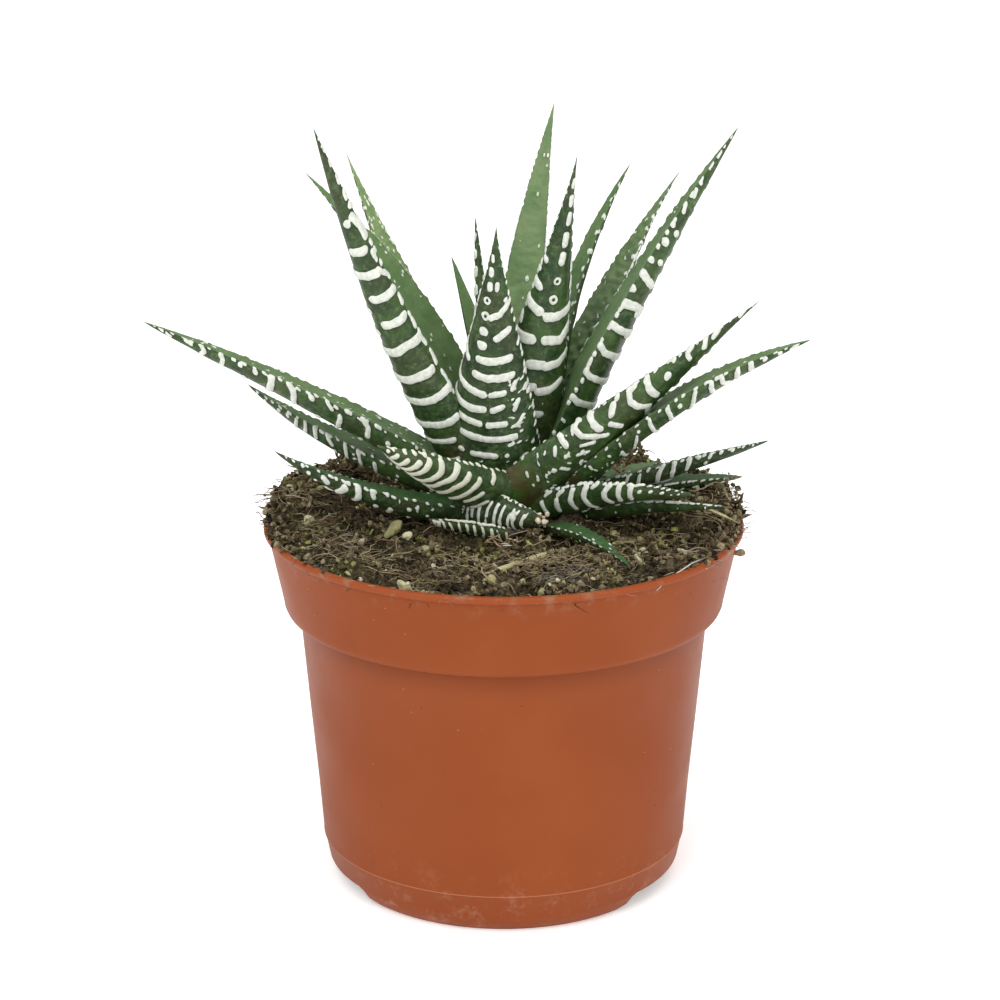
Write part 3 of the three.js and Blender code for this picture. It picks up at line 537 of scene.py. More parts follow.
def shaded_material(name, dark, middle, light, roughness, size, depth):
    """A dull natural surface whose colour goes from dark past middle to light with each piece's shade."""
    shader = Shader(name)
    shade = shader.attribute("shade")
    grain = shader.noise(size, 4, 0.65)
    mixed = shader.add(shade, shader.step(grain, 0.3, 0.7, -0.18, 0.18))
    colour = shader.mix(shader.step(mixed, 0.0, 0.5), dark, middle)
    colour = shader.mix(shader.step(mixed, 0.5, 1.0), colour, light)
    normal = shader.bump(grain, depth, 0.8)
    return shader.finish(colour, roughness, normal, Specular_IOR_Level=0.14)


def make_piece(name, points, faces, material, nodes=(), values=None, smoothed=True):
    """A smooth mesh from points in millimetres that rides on the pot; values are its point attributes."""
    mesh = bpy.data.meshes.new(name)
    mesh.from_pydata((np.asarray(points) * MM).tolist(), [], [tuple(face) for face in faces])
    for key, numbers in (values or {}).items():
        layer = mesh.attributes.new(key, "FLOAT", "POINT")
        layer.data.foreach_set("value", np.asarray(numbers, np.float32))
    mesh.polygons.foreach_set("use_smooth", np.full(len(mesh.polygons), smoothed))
    mesh.materials.append(material)
    mesh.update()
    piece = bpy.data.objects.new(name, mesh)
    bpy.context.scene.collection.objects.link(piece)
    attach(piece, "root")
    if nodes:
        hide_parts(*nodes)
    return piece


# Leaves

class Leaf:
    """One leaf's spine, sections and surface grid, by the same rules as in the CAD model."""

    def __init__(self, row, step, lower, upper):
        (self.name, angle, reach, tip, foot_angle, foot_reach, foot_height, bow, sway, twist, self.width,
         self.thick, self.taper, self.spacing) = row
        side = outward(angle + 90)
        up = np.array([0, 0, 1.0])
        self.foot = ROSETTE + foot_reach * outward(foot_angle) + foot_height * up
        self.end = ROSETTE + reach * outward(angle) + tip * up
        rise = np.cross(unit(self.end - self.foot), side)
        self.middle = (self.foot + self.end) / 2 + 2 * bow * rise + 2 * sway * side
        self.side = side
        self.twist = math.radians(twist)
        self.lower = lower
        self.upper = upper
        dense = np.linspace(-LEAF_SINK, 1, 400)
        gaps = np.linalg.norm(np.diff(self.spine(dense), axis=0), axis=1)
        from_tip = np.concatenate([[0], np.cumsum(gaps[::-1])])[::-1]
        self.length = from_tip[0]
        self.from_tip = np.linspace(self.length, step, max(8, int(self.length / step)))
        self.t = np.interp(self.from_tip, from_tip[::-1], dense[::-1])
        self.build_grid()

    def spine(self, t):
        """Points of the spine for shares t of the way from the foot to the tip."""
        t = np.asarray(t)[:, None]
        s = 1 - t
        return self.foot * s * s + self.middle * 2 * s * t + self.end * t * t

    def build_grid(self):
        """Rings of points: the lower face from the left margin to the right, then the upper face back."""
        t = self.t[:, None]
        centre = self.spine(self.t)
        along = unit((self.middle - self.foot) * (1 - t) + (self.end - self.middle) * t)
        flat_side = unit(self.side - along * (along @ self.side)[:, None])
        flat_up = np.cross(along, flat_side)
        across = flat_side * math.cos(self.twist) + flat_up * math.sin(self.twist)
        upward = flat_up * math.cos(self.twist) - flat_side * math.sin(self.twist)
        run = np.clip(1 - self.t, 0.001, 1)
        self.half = self.width / 2 * np.sin(math.pi / 2 * run ** self.taper)
        self.deep = self.thick * np.sin(math.pi / 2 * run ** (self.taper * DEPTH_TAPER))
        turn = np.linspace(math.pi, 0, 90)
        share = np.linspace(0, 1, self.lower + 1)
        lower_u = np.empty((len(self.t), self.lower + 1))
        lower_v = np.empty_like(lower_u)
        self.girth = np.empty(len(self.t))
        for i, (half, deep) in enumerate(zip(self.half, self.deep)):
            u = half * np.cos(turn)
            v = deep * np.sin(turn) ** BELLY_POWER
            walked = np.concatenate([[0], np.cumsum(np.hypot(np.diff(u), np.diff(v)))])
            lower_u[i] = np.interp(share * walked[-1], walked, u)
            lower_v[i] = np.interp(share * walked[-1], walked, v)
            self.girth[i] = walked[-1] / 2
        cross = np.linspace(1, -1, self.upper + 2)[1:-1]
        edge = np.minimum(MARGIN_ROUND, self.half * 0.2)[:, None]
        upper_u = self.half[:, None] * cross
        dome = edge * np.sqrt(1 - cross ** 2) - 2 * LEAF_CUP * self.half[:, None] * (1 - cross ** 2)
        u = np.concatenate([lower_u, upper_u], axis=1)
        v = np.concatenate([-lower_v, dome], axis=1)
        sag = BAND_SAG * 2 * self.half[:, None] * np.clip(-v, 0, None) / self.deep[:, None]
        sag[:, self.lower + 1:] = 0
        self.grid = (centre[:, None] + across[:, None] * u[..., None] + upward[:, None] * v[..., None]
                     - along[:, None] * sag[..., None])
        self.share = np.concatenate([np.linspace(-1, 1, self.lower + 1), cross])
        facing = np.concatenate([np.zeros(self.lower + 1), np.ones(self.upper)])
        facing[0] = facing[self.lower] = 0.5
        self.facing = np.broadcast_to(facing, u.shape)

    def normals(self):
        """Outward normals of the grid."""
        round_step = np.roll(self.grid, -1, axis=1) - np.roll(self.grid, 1, axis=1)
        long_step = np.gradient(self.grid, axis=0)
        outward_side = np.cross(round_step, long_step)
        return outward_side / np.maximum(np.linalg.norm(outward_side, axis=-1, keepdims=True), 1e-9)


def rods_through(row):
    """A mark's row as rods: two ends, each a distance from the tip and a place across, and a radius."""
    thickness, *places = row
    points = list(zip(places[::2], places[1::2]))
    return [(*one, *two, MARK_HALF * thickness) for one, two in zip(points, points[1:] or points)]


def table_marks(leaf):
    """The leaf's own marks, repeated on the flank that the photo doesn't show."""
    rods = [rod for row in MARKS[leaf.name] for rod in rods_through(row)]
    if leaf.name not in BOTH_FLANKS:
        rods += [(start + 0.8, -from_share, stop + 0.8, -to_share, radius)
                 for start, from_share, stop, to_share, radius in rods]
    return rods


def pattern_marks(leaf, style, random):
    """Dots near the tip that join into bands further down."""
    rods = []
    place = style["first"]
    while place < leaf.length * 0.9:
        share = place / leaf.length
        size = np.interp(share, [0, style["join"], 0.75, 1], [0.45, 0.8, 1, 0.6]) * style["band"] / 2
        if share < style["join"]:
            for across in (-0.5, 0, 0.5):
                if across == 0 or random.random() < share / style["join"] * 1.1:
                    at = place + random.uniform(-0.6, 0.6)
                    spread = random.uniform(0.02, 0.12)
                    rods.append((at, across - spread, at, across + spread, size))
        else:
            breaks = [-0.8]
            while random.random() < style["breaks"] and len(breaks) < 3:
                breaks.append(random.uniform(-0.55, 0.55))
            breaks = sorted(breaks) + [0.8]
            for start, stop in zip(breaks, breaks[1:]):
                if stop - start < 0.2:
                    continue
                jitter = random.uniform(-0.35, 0.35)
                ends = np.linspace(start + 0.05, stop - 0.05, 3)
                levels = place + jitter - 0.5 * (ends / 0.8) ** 2
                rods += [(levels[k], ends[k], levels[k + 1], ends[k + 1], size) for k in (0, 1)]
        near_tip = np.interp(share, [0, 0.3], [0.6, 1])
        place += leaf.spacing * style["pitch"] * near_tip * random.uniform(0.92, 1.08)
    return rods


def margin_teeth(leaf, style, random):
    """Small white teeth along both margins."""
    rods = []
    for edge in (-1, 1):
        place = 3.0
        while place < leaf.length * 0.93:
            longer = random.uniform(0.1, 0.45)
            size = style["tooth"] * np.interp(place / leaf.length, [0, 0.3, 1], [0.5, 1, 0.75])
            across = edge * random.uniform(0.94, 1.0)
            rods.append((place - longer, across, place + longer, across, size))
            place += style["margin"] * random.uniform(0.7, 1.3)
    return rods


def marks_of(leaf, style, random):
    """All the white marks of a leaf's lower face as rods."""
    rods = table_marks(leaf) if leaf.name in MARKS else pattern_marks(leaf, style, random)
    rods += [(place, across, place, across, radius) for place, across, radius in PITTED.get(leaf.name, ())]
    for count, near, far, low, high in SPECKLES.get(leaf.name, ()):
        for _ in range(count):
            place = random.uniform(near, far)
            across = random.uniform(low, high)
            wide = random.uniform(0, 0.05)
            turned = random.uniform(-0.5, 0.5)
            rods.append((place, across - wide, place + turned, across + wide, random.uniform(0.2, 0.38)))
    return rods + margin_teeth(leaf, style, random)


def upper_marks(leaf, style, random):
    """The dots of a leaf's upper face."""
    rods = [rod for row in UPPER_MARKS.get(leaf.name, ()) for rod in rods_through(row)]
    for _ in range(style["dots"]):
        place = random.uniform(0.12, 0.8) * leaf.length
        across = random.choice([-0.75, 0, 0.75]) + random.normal(0, 0.12)
        rods.append((place, across, place + 0.2, across, random.uniform(0.26, 0.48)))
    return rods


def distance_to_marks(leaf, rods, columns):
    """Signed distance in millimetres from each grid point to the nearest mark's edge."""
    nearest = np.full((len(leaf.t), len(columns)), FAR_FROM_MARKS)
    across = leaf.share[columns] * leaf.girth[:, None]
    along = np.broadcast_to(leaf.from_tip[:, None], across.shape)
    for start, start_share, stop, stop_share, radius in rods:
        nearest_end, farthest_end = sorted((start, stop))
        reach = radius + MARK_REACH
        inside = (leaf.from_tip > nearest_end - reach) & (leaf.from_tip < farthest_end + reach)
        rows = np.where(inside)[0]
        if not len(rows):
            continue
        part = slice(rows[0], rows[-1] + 1)
        width = np.interp((start + stop) / 2, leaf.from_tip[::-1], leaf.girth[::-1])
        one = np.array([start, start_share * width])
        two = np.array([stop, stop_share * width])
        span = two - one
        px = along[part] - one[0]
        py = across[part] - one[1]
        walk = np.clip((px * span[0] + py * span[1]) / max(span @ span, 1e-6), 0, 1)
        gap = np.hypot(px - walk * span[0], py - walk * span[1]) - radius
        nearest[part] = np.minimum(nearest[part], gap)
    return nearest


# How fine a leaf's grid is: the step between its rings, its columns below and its columns above
FRONT_GRID = (0.42, 56, 18)
REAR_GRID = (0.6, 34, 28)
HIDDEN_GRID = (0.9, 26, 10)
DOTTED_GRIDS = {"leaf_back_left": (0.42, 30, 42), "leaf_left_long": (0.42, 56, 30)}


def grid_of(name):
    """A leaf's grid, by how much of it the photo shows."""
    if name in HIDDEN:
        return HIDDEN_GRID
    if name in DOTTED_GRIDS:
        return DOTTED_GRIDS[name]
    return FRONT_GRID if name in MARKS else REAR_GRID


def skin_relief(leaf, gap, around, along, wrinkles, number):
    """How far the skin stands out from the leaf's plain surface: marks, swells and folds."""
    relief = BAND_RELIEF * smooth(-gap, -0.3, 0.45) - 0.06 * smooth(-gap, -1.0, -0.5)
    relief = relief + 0.12 * lattice_noise(along * 0.25, around * 0.3 + 9, number + 50)
    folds = lattice_noise(along * 1.3, around * 0.35 + 20, number + 70) * (1 - leaf.share[None, :] ** 2)
    relief = relief + wrinkles * folds * (leaf.facing > 0.9)
    return relief * np.minimum(1, leaf.half / 2.5)[:, None]


def closed_faces(rings, count):
    """The faces of rings of count points, with a fan at each end about a point that comes after them."""
    ring = np.arange(rings - 1)[:, None] * count
    here = np.arange(count)[None, :]
    after = (here + 1) % count
    quads = np.stack([ring + here, ring + after, ring + count + after, ring + count + here], -1)
    faces = [tuple(quad) for quad in quads.reshape(-1, 4)]
    first = rings * count
    final = first - count
    faces += [(first, (k + 1) % count, k) for k in range(count)]
    faces += [(first + 1, final + k, final + (k + 1) % count) for k in range(count)]
    return faces


def make_leaf(row, number, material):
    """A leaf's piece: its grid pushed out at the marks, closed at the foot and the tip."""
    leaf = Leaf(row, *grid_of(row[0]))
    style = {**COMMON, **STYLES.get(leaf.name, {})}
    random = np.random.default_rng(SEED + number)
    columns = np.arange(leaf.lower + 1)
    upper_columns = np.arange(leaf.lower + 1, leaf.lower + 1 + leaf.upper)
    gap = np.full(leaf.facing.shape, FAR_FROM_MARKS)
    gap[:, columns] = distance_to_marks(leaf, marks_of(leaf, style, random), columns)
    gap[:, upper_columns] = distance_to_marks(leaf, upper_marks(leaf, style, random), upper_columns)
    around = leaf.share[None, :] * leaf.girth[:, None]
    along = np.broadcast_to(leaf.from_tip[:, None], around.shape)
    gap = gap + 0.14 * lattice_noise(along * 1.2, around * 1.2 + 30, number)
    pits = [(place, across, place, across, PIT_SHARE * radius)
            for place, across, radius in PITTED.get(leaf.name, ())]
    gap[:, columns] = np.maximum(gap[:, columns], -distance_to_marks(leaf, pits, columns))
    relief = skin_relief(leaf, gap, around, along, style["wrinkles"], number)
    grid = leaf.grid + leaf.normals() * relief[..., None]
    points = np.concatenate([grid.reshape(-1, 3), leaf.spine([leaf.t[0]]), [leaf.end]])
    values = {}
    for key, numbers, at_foot, at_tip in (
            ("mark", np.clip(0.5 - gap / 1.6, 0, 1), 0, 0),
            ("face", leaf.facing, 0, 0.5),
            ("foot", smooth(along / leaf.length, 0.7, 0.98), 1, 0),
            ("tip", smooth(-along, -style["brown"], -0.3), 0, 1)):
        values[key] = np.concatenate([numbers.reshape(-1), [at_foot, at_tip]])
    for key in ("tint", "grey", "dark", "cream"):
        values[key] = np.full(len(points), style[key])
    faces = closed_faces(*grid.shape[:2])
    return make_piece(leaf.name + "_skin", points, faces, material, (leaf.name,), values)


leaf_skin = leaf_material()
for number, row in enumerate(LEAVES):
    make_leaf(row, number, leaf_skin)


# The pot

POT_SECTORS = 192
CORNER = 0.4
FLOOR_LIFT = 0.9
SHARP_DEGREES = 38


def pot_profile():
    """The pot's outline, outside upwards and inside down, with rounded corners as short arcs."""
    step = POT_HEIGHT - COLLAR_HEIGHT
    lip = POT_HEIGHT - LIP_HEIGHT
    outside = [(0, FLOOR_LIFT), (FOOT_RADIUS - 6, FLOOR_LIFT), (FOOT_RADIUS - 4, 0), (FOOT_RADIUS, 0)]
    outside += [(FOOT_RADIUS + 2, 1.8), (FOOT_RADIUS + 3.4, 4.6), (SEAM_RADIUS - 0.15, SEAM_HEIGHT - 0.35)]
    outside += [(SEAM_RADIUS + 0.12, SEAM_HEIGHT), (SEAM_RADIUS + 0.05, SEAM_HEIGHT + 0.4)]
    outside += [(SEAM_RADIUS + 1.1, SEAM_HEIGHT + 14), (SEAM_RADIUS + 2.9, SEAM_HEIGHT + 34)]
    outside += [(BODY_TOP_RADIUS, step - 0.6), (BODY_TOP_RADIUS + 0.5, step)]
    collar_inside = COLLAR_FOOT_RADIUS - WALL
    flat_radius = COLLAR_FOOT_RADIUS - COLLAR_ROUND_WIDTH
    for degrees in (0, 22, 45, 68, 90):
        turn = math.radians(degrees)
        outside.append((flat_radius + (COLLAR_ROUND_WIDTH + 0.4) * math.sin(turn),
                        step + COLLAR_ROUND_HEIGHT * (1 - math.cos(turn))))
    outside += [(RIM_RADIUS - LIP_OVERHANG, lip - CORNER), (RIM_RADIUS - 0.3, lip)]
    outside += [(RIM_RADIUS, lip + CORNER), (RIM_RADIUS, POT_HEIGHT - CORNER)]
    outside += [(RIM_RADIUS - CORNER, POT_HEIGHT)]
    top = RIM_RADIUS - LIP_OVERHANG - WALL + 0.3
    inside = [(top + CORNER, POT_HEIGHT), (top, POT_HEIGHT - CORNER)]
    inside += [(collar_inside, step + WALL + COLLAR_ROUND_HEIGHT)]
    inside += [(collar_inside - COLLAR_ROUND_WIDTH, step + WALL)]
    inside += [(BODY_TOP_RADIUS - WALL, step + WALL), (SEAM_RADIUS - WALL, SEAM_HEIGHT)]
    inside += [(FOOT_RADIUS + 1.2 - WALL, WALL + 0.6), (0, WALL + 0.6)]
    return outside + inside


def lathe_mesh(profile, sectors):
    """Points and faces of a profile turned about Z; its first and last points are on the axis."""
    turn = np.arange(sectors) * 2 * math.pi / sectors
    rings = [np.stack([radius * np.sin(turn), -radius * np.cos(turn), np.full(sectors, height)], -1)
             for radius, height in profile[1:-1]]
    points = np.concatenate(rings + [[(0, 0, profile[0][1]), (0, 0, profile[-1][1])]])
    return points, closed_faces(len(rings), sectors)


def slot_cutter(angle):
    """A block with sloping ends that cuts a drain slot through the pot's lower corner."""
    half = SLOT_WIDTH / 2
    right = [(half + SLOT_SLOPE, -1), (half + 0.4, SLOT_HEIGHT - 0.7), (half - 0.7, SLOT_HEIGHT)]
    outline = [(-half - SLOT_SLOPE, -1)] + right + [(-x, z) for x, z in right[:0:-1]]
    count = len(outline)
    points = [(x, -SLOT_DEPTH_RADIUS - depth, z) for depth in (0, 20) for x, z in outline]
    faces = [tuple(range(count - 1, -1, -1)), tuple(range(count, 2 * count))]
    faces += [(k, (k + 1) % count, count + (k + 1) % count, count + k) for k in range(count)]
    mesh = bpy.data.meshes.new("slot")
    turned = Matrix.Rotation(math.radians(angle), 4, "Z")
    mesh.from_pydata([turned @ Vector(point) * MM for point in points], [], faces)
    cutter = bpy.data.objects.new("slot", mesh)
    bpy.context.scene.collection.objects.link(cutter)
    return cutter


def cut_slots(pot):
    """Cuts the drain slots and keeps the result in the pot's mesh."""
    cutters = [slot_cutter(angle) for angle in SLOT_ANGLES]
    for cutter in cutters:
        modifier = pot.modifiers.new("slot", "BOOLEAN")
        modifier.operation = "DIFFERENCE"
        modifier.object = cutter
        modifier.solver = "EXACT"
    shown = bpy.context.evaluated_depsgraph_get()
    cut = bpy.data.meshes.new_from_object(pot.evaluated_get(shown))
    pot.modifiers.clear()
    pot.data = cut
    cut.set_sharp_from_angle(angle=math.radians(SHARP_DEGREES))
    for cutter in cutters:
        bpy.data.objects.remove(cutter)


pot_points, pot_faces = lathe_mesh(pot_profile(), POT_SECTORS)
pot = make_piece("pot_shell", pot_points, pot_faces, plastic_material(), ("pot",))
cut_slots(pot)


# The soil

SOIL_EDGE_LEVEL = 91.4
SOIL_EDGE_RADIUS = 57.4
SOIL_LUMP = 0.7
SOIL_GRID = 190
SOIL_GAP = 0.4
LEAF_CLEARANCE = 0.3
HEAP_ANGLE = 97

# How many of each kind of loose matter are strewn on the soil, and heaped on each side at the rim
PEAT_CRUMBS = 2400
PEAT_CLUMPS = 230
CRUMBS_IN_CLUMP = 13
HEAPED_CRUMBS = 520
MOSS_CRUMBS = 1900
GRANULES = 330
SHORT_FIBRES = 1300
LONG_FIBRES = 260
HEAPED_FIBRES = 170
CUT_END_LUMPS = 9

# Loose matter that the photo shows, in millimetres: large granules as x, y, lift, radius and shade; tangles
# of root hairs and tufts of fibres as x, y, spread and count; the long white root and the stalks as points
# of the plan with a lift, the stalks also with a width and a number of fibres; scraps as x, y, z, count,
# length, spread and shade; twigs as two ends, a radius and a shade.
LARGE_GRANULES = (
    (-26.5, -17.5, 5.4, 2.1, 0.45), (-27.8, -18.3, 3, 1.35, 0.45), (-27, -18.6, 1.1, 1.4, 0.5),
    (-23.4, -23.6, 1, 1.15, 0.9), (-23, -50.2, 1, 1.3, 0.75), (-48.3, -10.6, 1, 1.15, 0.8),
    (-34.8, -20.2, 0.9, 1.1, 0.9), (-16.7, -34.8, 0.8, 1, 0.95), (38.3, -18.9, 0.9, 1.1, 0.95),
    (32.3, -36, 0.8, 0.95, 0.7), (49.7, 1.5, 0.9, 1.15, 0.6), (55.6, 8, 0.7, 0.8, 0.6),
    (-19, -26, 0.7, 0.8, 0.7), (-27, -28, 0.6, 0.7, 0.6), (-30, -33, 0.7, 0.8, 0.6),
)
HAIR_TANGLES = (
    (13.6, -44.5, 2.6, 60), (-35, -17, 3, 14), (-42, -30, 3, 22), (45, -34, 3, 14), (30, -42, 3, 14),
    (-15, -44, 3, 16), (50, -20, 3, 10), (-10, -48, 3, 12),
)
FIBRE_TUFTS = (
    (-46, -10, 3, 34), (-40, -20, 3, 34), (-33, -30, 3, 30), (-51, -2, 3, 24), (8, -42, 3.5, 40),
    (16, -38, 3, 34), (-9, -37, 3, 26), (26, -33, 3, 26), (41, -22, 3, 30), (49, -10, 3, 26),
    (-20, -45, 3, 24),
)
LONG_ROOT = ((36, -47.5, 0.8), (39, -44, 1.4), (42, -40, 1.2), (45, -36, 1.8), (48.6, -31.7, 1.6))
STALKS = (
    ("straw_front", ((-7, -45.5, 1.7), (5, -37, 2.1), (15, -27, 2.2)), 1.5, 16),
    ("straw_right", ((43, -2, 1.7), (51, -8, 2.1), (58.5, -15, 3.8)), 1.05, 9),
)
BARK_PLAN = ((-40, 25, 1.6), (-34, 26, 2.2), (-28, 27, 1.8))
DRY_BITS = (
    (6, -10, 103.5, 7, 2.5, 1.2, 0.7), (29.6, 14, 101, 9, 4.5, 1.6, 0.35), (0.5, -27, 94.5, 9, 4, 1.8, 0.4),
    (2, -28, 96, 4, 2.5, 1.2, 0.95),
)
TWIGS = (
    ((0, -9.5, 100.5), (-0.4, -10, 104), 0.4, 0.25), ((58.3, 0, 95), (59.9, 0, 99.8), 0.45, 0.1),
    ((56.5, -2, 94.3), (62, -2, 94.6), 0.35, 0.3), ((57, -6, 94), (61.5, -7.5, 96.5), 0.25, 0.2),
    ((31, 15, 102), (33.2, 15, 106.4), 0.3, 0.2), ((-57, -3, 95.5), (-61, -4, 97.5), 0.3, 0.3),
)
WALL_GRAIN = (58.4, -10, 87)
CUT_END = (9.2, -23.2, 100.6)


def heap(x, y, cx, cy, spread, height):
    """A soft round swell of the soil."""
    return height * np.exp(-((x - cx) ** 2 + (y - cy) ** 2) / (2 * spread ** 2))


def soil_height(x, y):
    """The smooth height of the soil, as in the CAD model."""
    rear = 3 / (1 + np.exp((2 - y) / 7))
    mound = heap(x, y, 3, 2, 24, 4) + heap(x, y, -54, 8, 13, 6) + heap(x, y, 54, 6, 12, 4.5) + rear
    lumps = np.sin(x * 0.41 + 1.3) * np.cos(y * 0.37 - 0.6) + np.sin(x * 0.23 - y * 0.29)
    return SOIL_EDGE_LEVEL + mound + SOIL_LUMP * lumps


def rough_height(x, y):
    """The height of the crumbly surface."""
    rough = 2.3 * lattice_noise(x / 6 + 40, y / 6 + 40, 1)
    rough = rough + 1.9 * np.abs(lattice_noise(x / 3 + 60, y / 3 + 60, 2)) - 0.6
    rough = rough + 0.8 * np.abs(lattice_noise(x / 1.3 + 100, y / 1.3 + 100, 3)) - 0.3
    edge = smooth(np.hypot(x, y), SOIL_EDGE_RADIUS, SOIL_EDGE_RADIUS - 2.9)
    return soil_height(x, y) + rough * (0.25 + 0.75 * edge) - 1.2 * (1 - edge)


def soil_piece(material):
    """The top is an even grid bent to a disc, and the sides follow the pot's inside down to its floor."""
    count = SOIL_GRID
    line = np.linspace(-1, 1, count)
    a, b = np.meshgrid(line, line, indexing="ij")
    wide = np.abs(a) >= np.abs(b)
    safe_a = np.where(a == 0, 1e-9, a)
    safe_b = np.where(b == 0, 1e-9, b)
    radius = np.where(wide, a, b)
    turn = np.where(wide, math.pi / 4 * b / safe_a, math.pi / 2 - math.pi / 4 * a / safe_b)
    x = SOIL_EDGE_RADIUS * radius * np.cos(turn)
    y = SOIL_EDGE_RADIUS * radius * np.sin(turn)
    top = np.stack([x, y, rough_height(x, y)], -1).reshape(-1, 3)
    index = np.arange(count * count).reshape(count, count)
    quads = np.stack([index[:-1, :-1], index[1:, :-1], index[1:, 1:], index[:-1, 1:]], -1).reshape(-1, 4)
    faces = [tuple(quad) for quad in quads]
    border = np.concatenate([index[:-1, 0], index[-1, :-1], index[:0:-1, -1], index[0, :0:-1]])
    step = POT_HEIGHT - COLLAR_HEIGHT + WALL
    inset = WALL + SOIL_GAP
    sides = [(COLLAR_FOOT_RADIUS - inset, step + COLLAR_ROUND_HEIGHT + 0.5),
             (BODY_TOP_RADIUS - inset, step + SOIL_GAP),
             (SEAM_RADIUS - inset, SEAM_HEIGHT), (FOOT_RADIUS - SOIL_GAP, WALL + FLOOR_LIFT)]
    ring = border
    points = [top]
    total = len(top)
    direction = unit(top[border][:, :2])
    for side_radius, height in sides:
        lower = np.column_stack([direction * side_radius, np.full(len(border), height)])
        points.append(lower)
        fresh = total + np.arange(len(border))
        total += len(border)
        for k in range(len(border)):
            after = (k + 1) % len(border)
            faces.append((ring[after], ring[k], fresh[k], fresh[after]))
        ring = fresh
    points.append([(0, 0, sides[-1][1])])
    faces += [(ring[(k + 1) % len(ring)], ring[k], total) for k in range(len(ring))]
    return make_piece("soil_fill", np.concatenate(points), faces, material, ("soil",))


class Bunch:
    """Many small closed shapes collected into one mesh, each with its own shade."""

    def __init__(self):
        self.points = []
        self.faces = []
        self.shades = []
        self.total = 0

    def add(self, points, faces, shade):
        """Takes one more shape."""
        self.points.append(points)
        self.faces.append(np.asarray(faces) + self.total)
        self.shades.append(np.full(len(points), shade))
        self.total += len(points)

    def piece(self, name, material, slot_name, nodes=(), smoothed=True):
        points = np.concatenate(self.points)
        faces = [tuple(face) for part in self.faces for face in part.tolist()]
        values = {"shade": np.concatenate(self.shades)}
        return make_piece(name, points, faces, material, nodes, values, smoothed)


def ball(subdivisions):
    """Points and faces of a unit ball of triangles."""
    shape = bmesh.new()
    bmesh.ops.create_icosphere(shape, subdivisions=subdivisions, radius=1)
    points = np.array([vertex.co[:] for vertex in shape.verts])
    faces = np.array([[vertex.index for vertex in face.verts] for face in shape.faces])
    shape.free()
    return points, faces


BALLS = {detail: ball(detail) for detail in (1, 2, 3)}


def crumb(bunch, place, size, random, detail, shade):
    """An uneven lump of the ball with that detail."""
    points, faces = BALLS[detail]
    stretch = random.uniform(0.45, 1.35, 3)
    waves = random.normal(0, 2.0, (3, 3))
    phase = random.uniform(0, 6, 3)
    bulge = 1 + 0.2 * np.sin(points @ waves.T + phase).sum(axis=1)
    turn = np.linalg.qr(random.normal(0, 1, (3, 3)))[0]
    if np.linalg.det(turn) < 0:
        turn[:, 0] *= -1
    bunch.add(place + size * (points * bulge[:, None] * stretch) @ turn.T, faces, shade)


@lru_cache
def thread_faces(count, sides):
    """The triangles of a closed thread with count rings of so many sides."""
    quads = closed_faces(count, sides)
    halves = [(face[:3], face[:1] + face[2:]) if len(face) == 4 else (face,) for face in quads]
    return np.array([half for pair in halves for half in pair])


def strand(bunch, path, radius, sides, shade, flat=1.0):
    """A closed thread along a path of points, thinner at both ends."""
    path = np.asarray(path, float)
    along = unit(np.gradient(path, axis=0))
    aside = unit(np.cross(along, [0, 0, 1.0]) + 1e-4)
    upward = np.cross(aside, along)
    count = len(path)
    swell = np.interp(np.linspace(0, 1, count), [0, 0.12, 0.8, 1], [0.45, 1, 0.85, 0.3]) * radius
    turns = np.arange(sides) * 2 * math.pi / sides
    rings = (path[:, None] + aside[:, None] * (np.cos(turns)[None, :, None] * swell[:, None, None])
             + upward[:, None] * (flat * np.sin(turns)[None, :, None] * swell[:, None, None]))
    points = np.concatenate([rings.reshape(-1, 3), path[:1], path[-1:]])
    bunch.add(points, thread_faces(count, sides), shade)


leaf_spines = []
for row in LEAVES:
    leaf = Leaf(row, 3.0, 8, 2)
    leaf_spines.append(np.column_stack([leaf.spine(leaf.t), leaf.half]))
leaf_spines = np.concatenate(leaf_spines)


def free_of_leaves(place):
    """Whether a point on the soil is clear of every leaf."""
    gap = np.linalg.norm(leaf_spines[:, :3] - place, axis=1) - leaf_spines[:, 3]
    return gap.min() > LEAF_CLEARANCE


def on_soil(x, y, lift=0.0):
    """A point at a height over the rough soil."""
    return np.array([x, y, float(rough_height(np.array(x), np.array(y))) + lift])


def scattered(random, count, largest):
    """Points spread evenly over the soil's surface, clear of the leaves."""
    found = []
    while len(found) < count:
        radius = largest * math.sqrt(random.random())
        turn = random.uniform(0, 2 * math.pi)
        place = on_soil(radius * math.cos(turn), radius * math.sin(turn))
        if free_of_leaves(place):
            found.append(place)
    return found


def gathered(random, x, y, spread, lowest):
    """A place at random about a point of the plan, a little over the soil."""
    return on_soil(x + random.normal(0, spread), y + random.normal(0, spread), random.uniform(*lowest))


def curly(start, random, steps, stride, bend, climb=0.05):
    """A path that wanders from a point."""
    heading = random.uniform(0, 2 * math.pi)
    path = [np.asarray(start, float)]
    for _ in range(steps):
        heading += random.normal(0, bend)
        climb += random.normal(-0.3 * climb, 0.18)
        path.append(path[-1] + stride * np.array([math.cos(heading), math.sin(heading), climb]))
    return path


def rim_heap(random, side):
    """A place in the soil that is heaped against the rim on one side."""
    turned = random.normal(0, 20)
    radius = random.uniform(54, 59.6)
    level = POT_HEIGHT + abs(random.normal(0, 1)) * 3 * math.exp(-(turned / 22) ** 2)
    return radius * outward(side * HEAP_ANGLE + turned) + (0, 0, level)


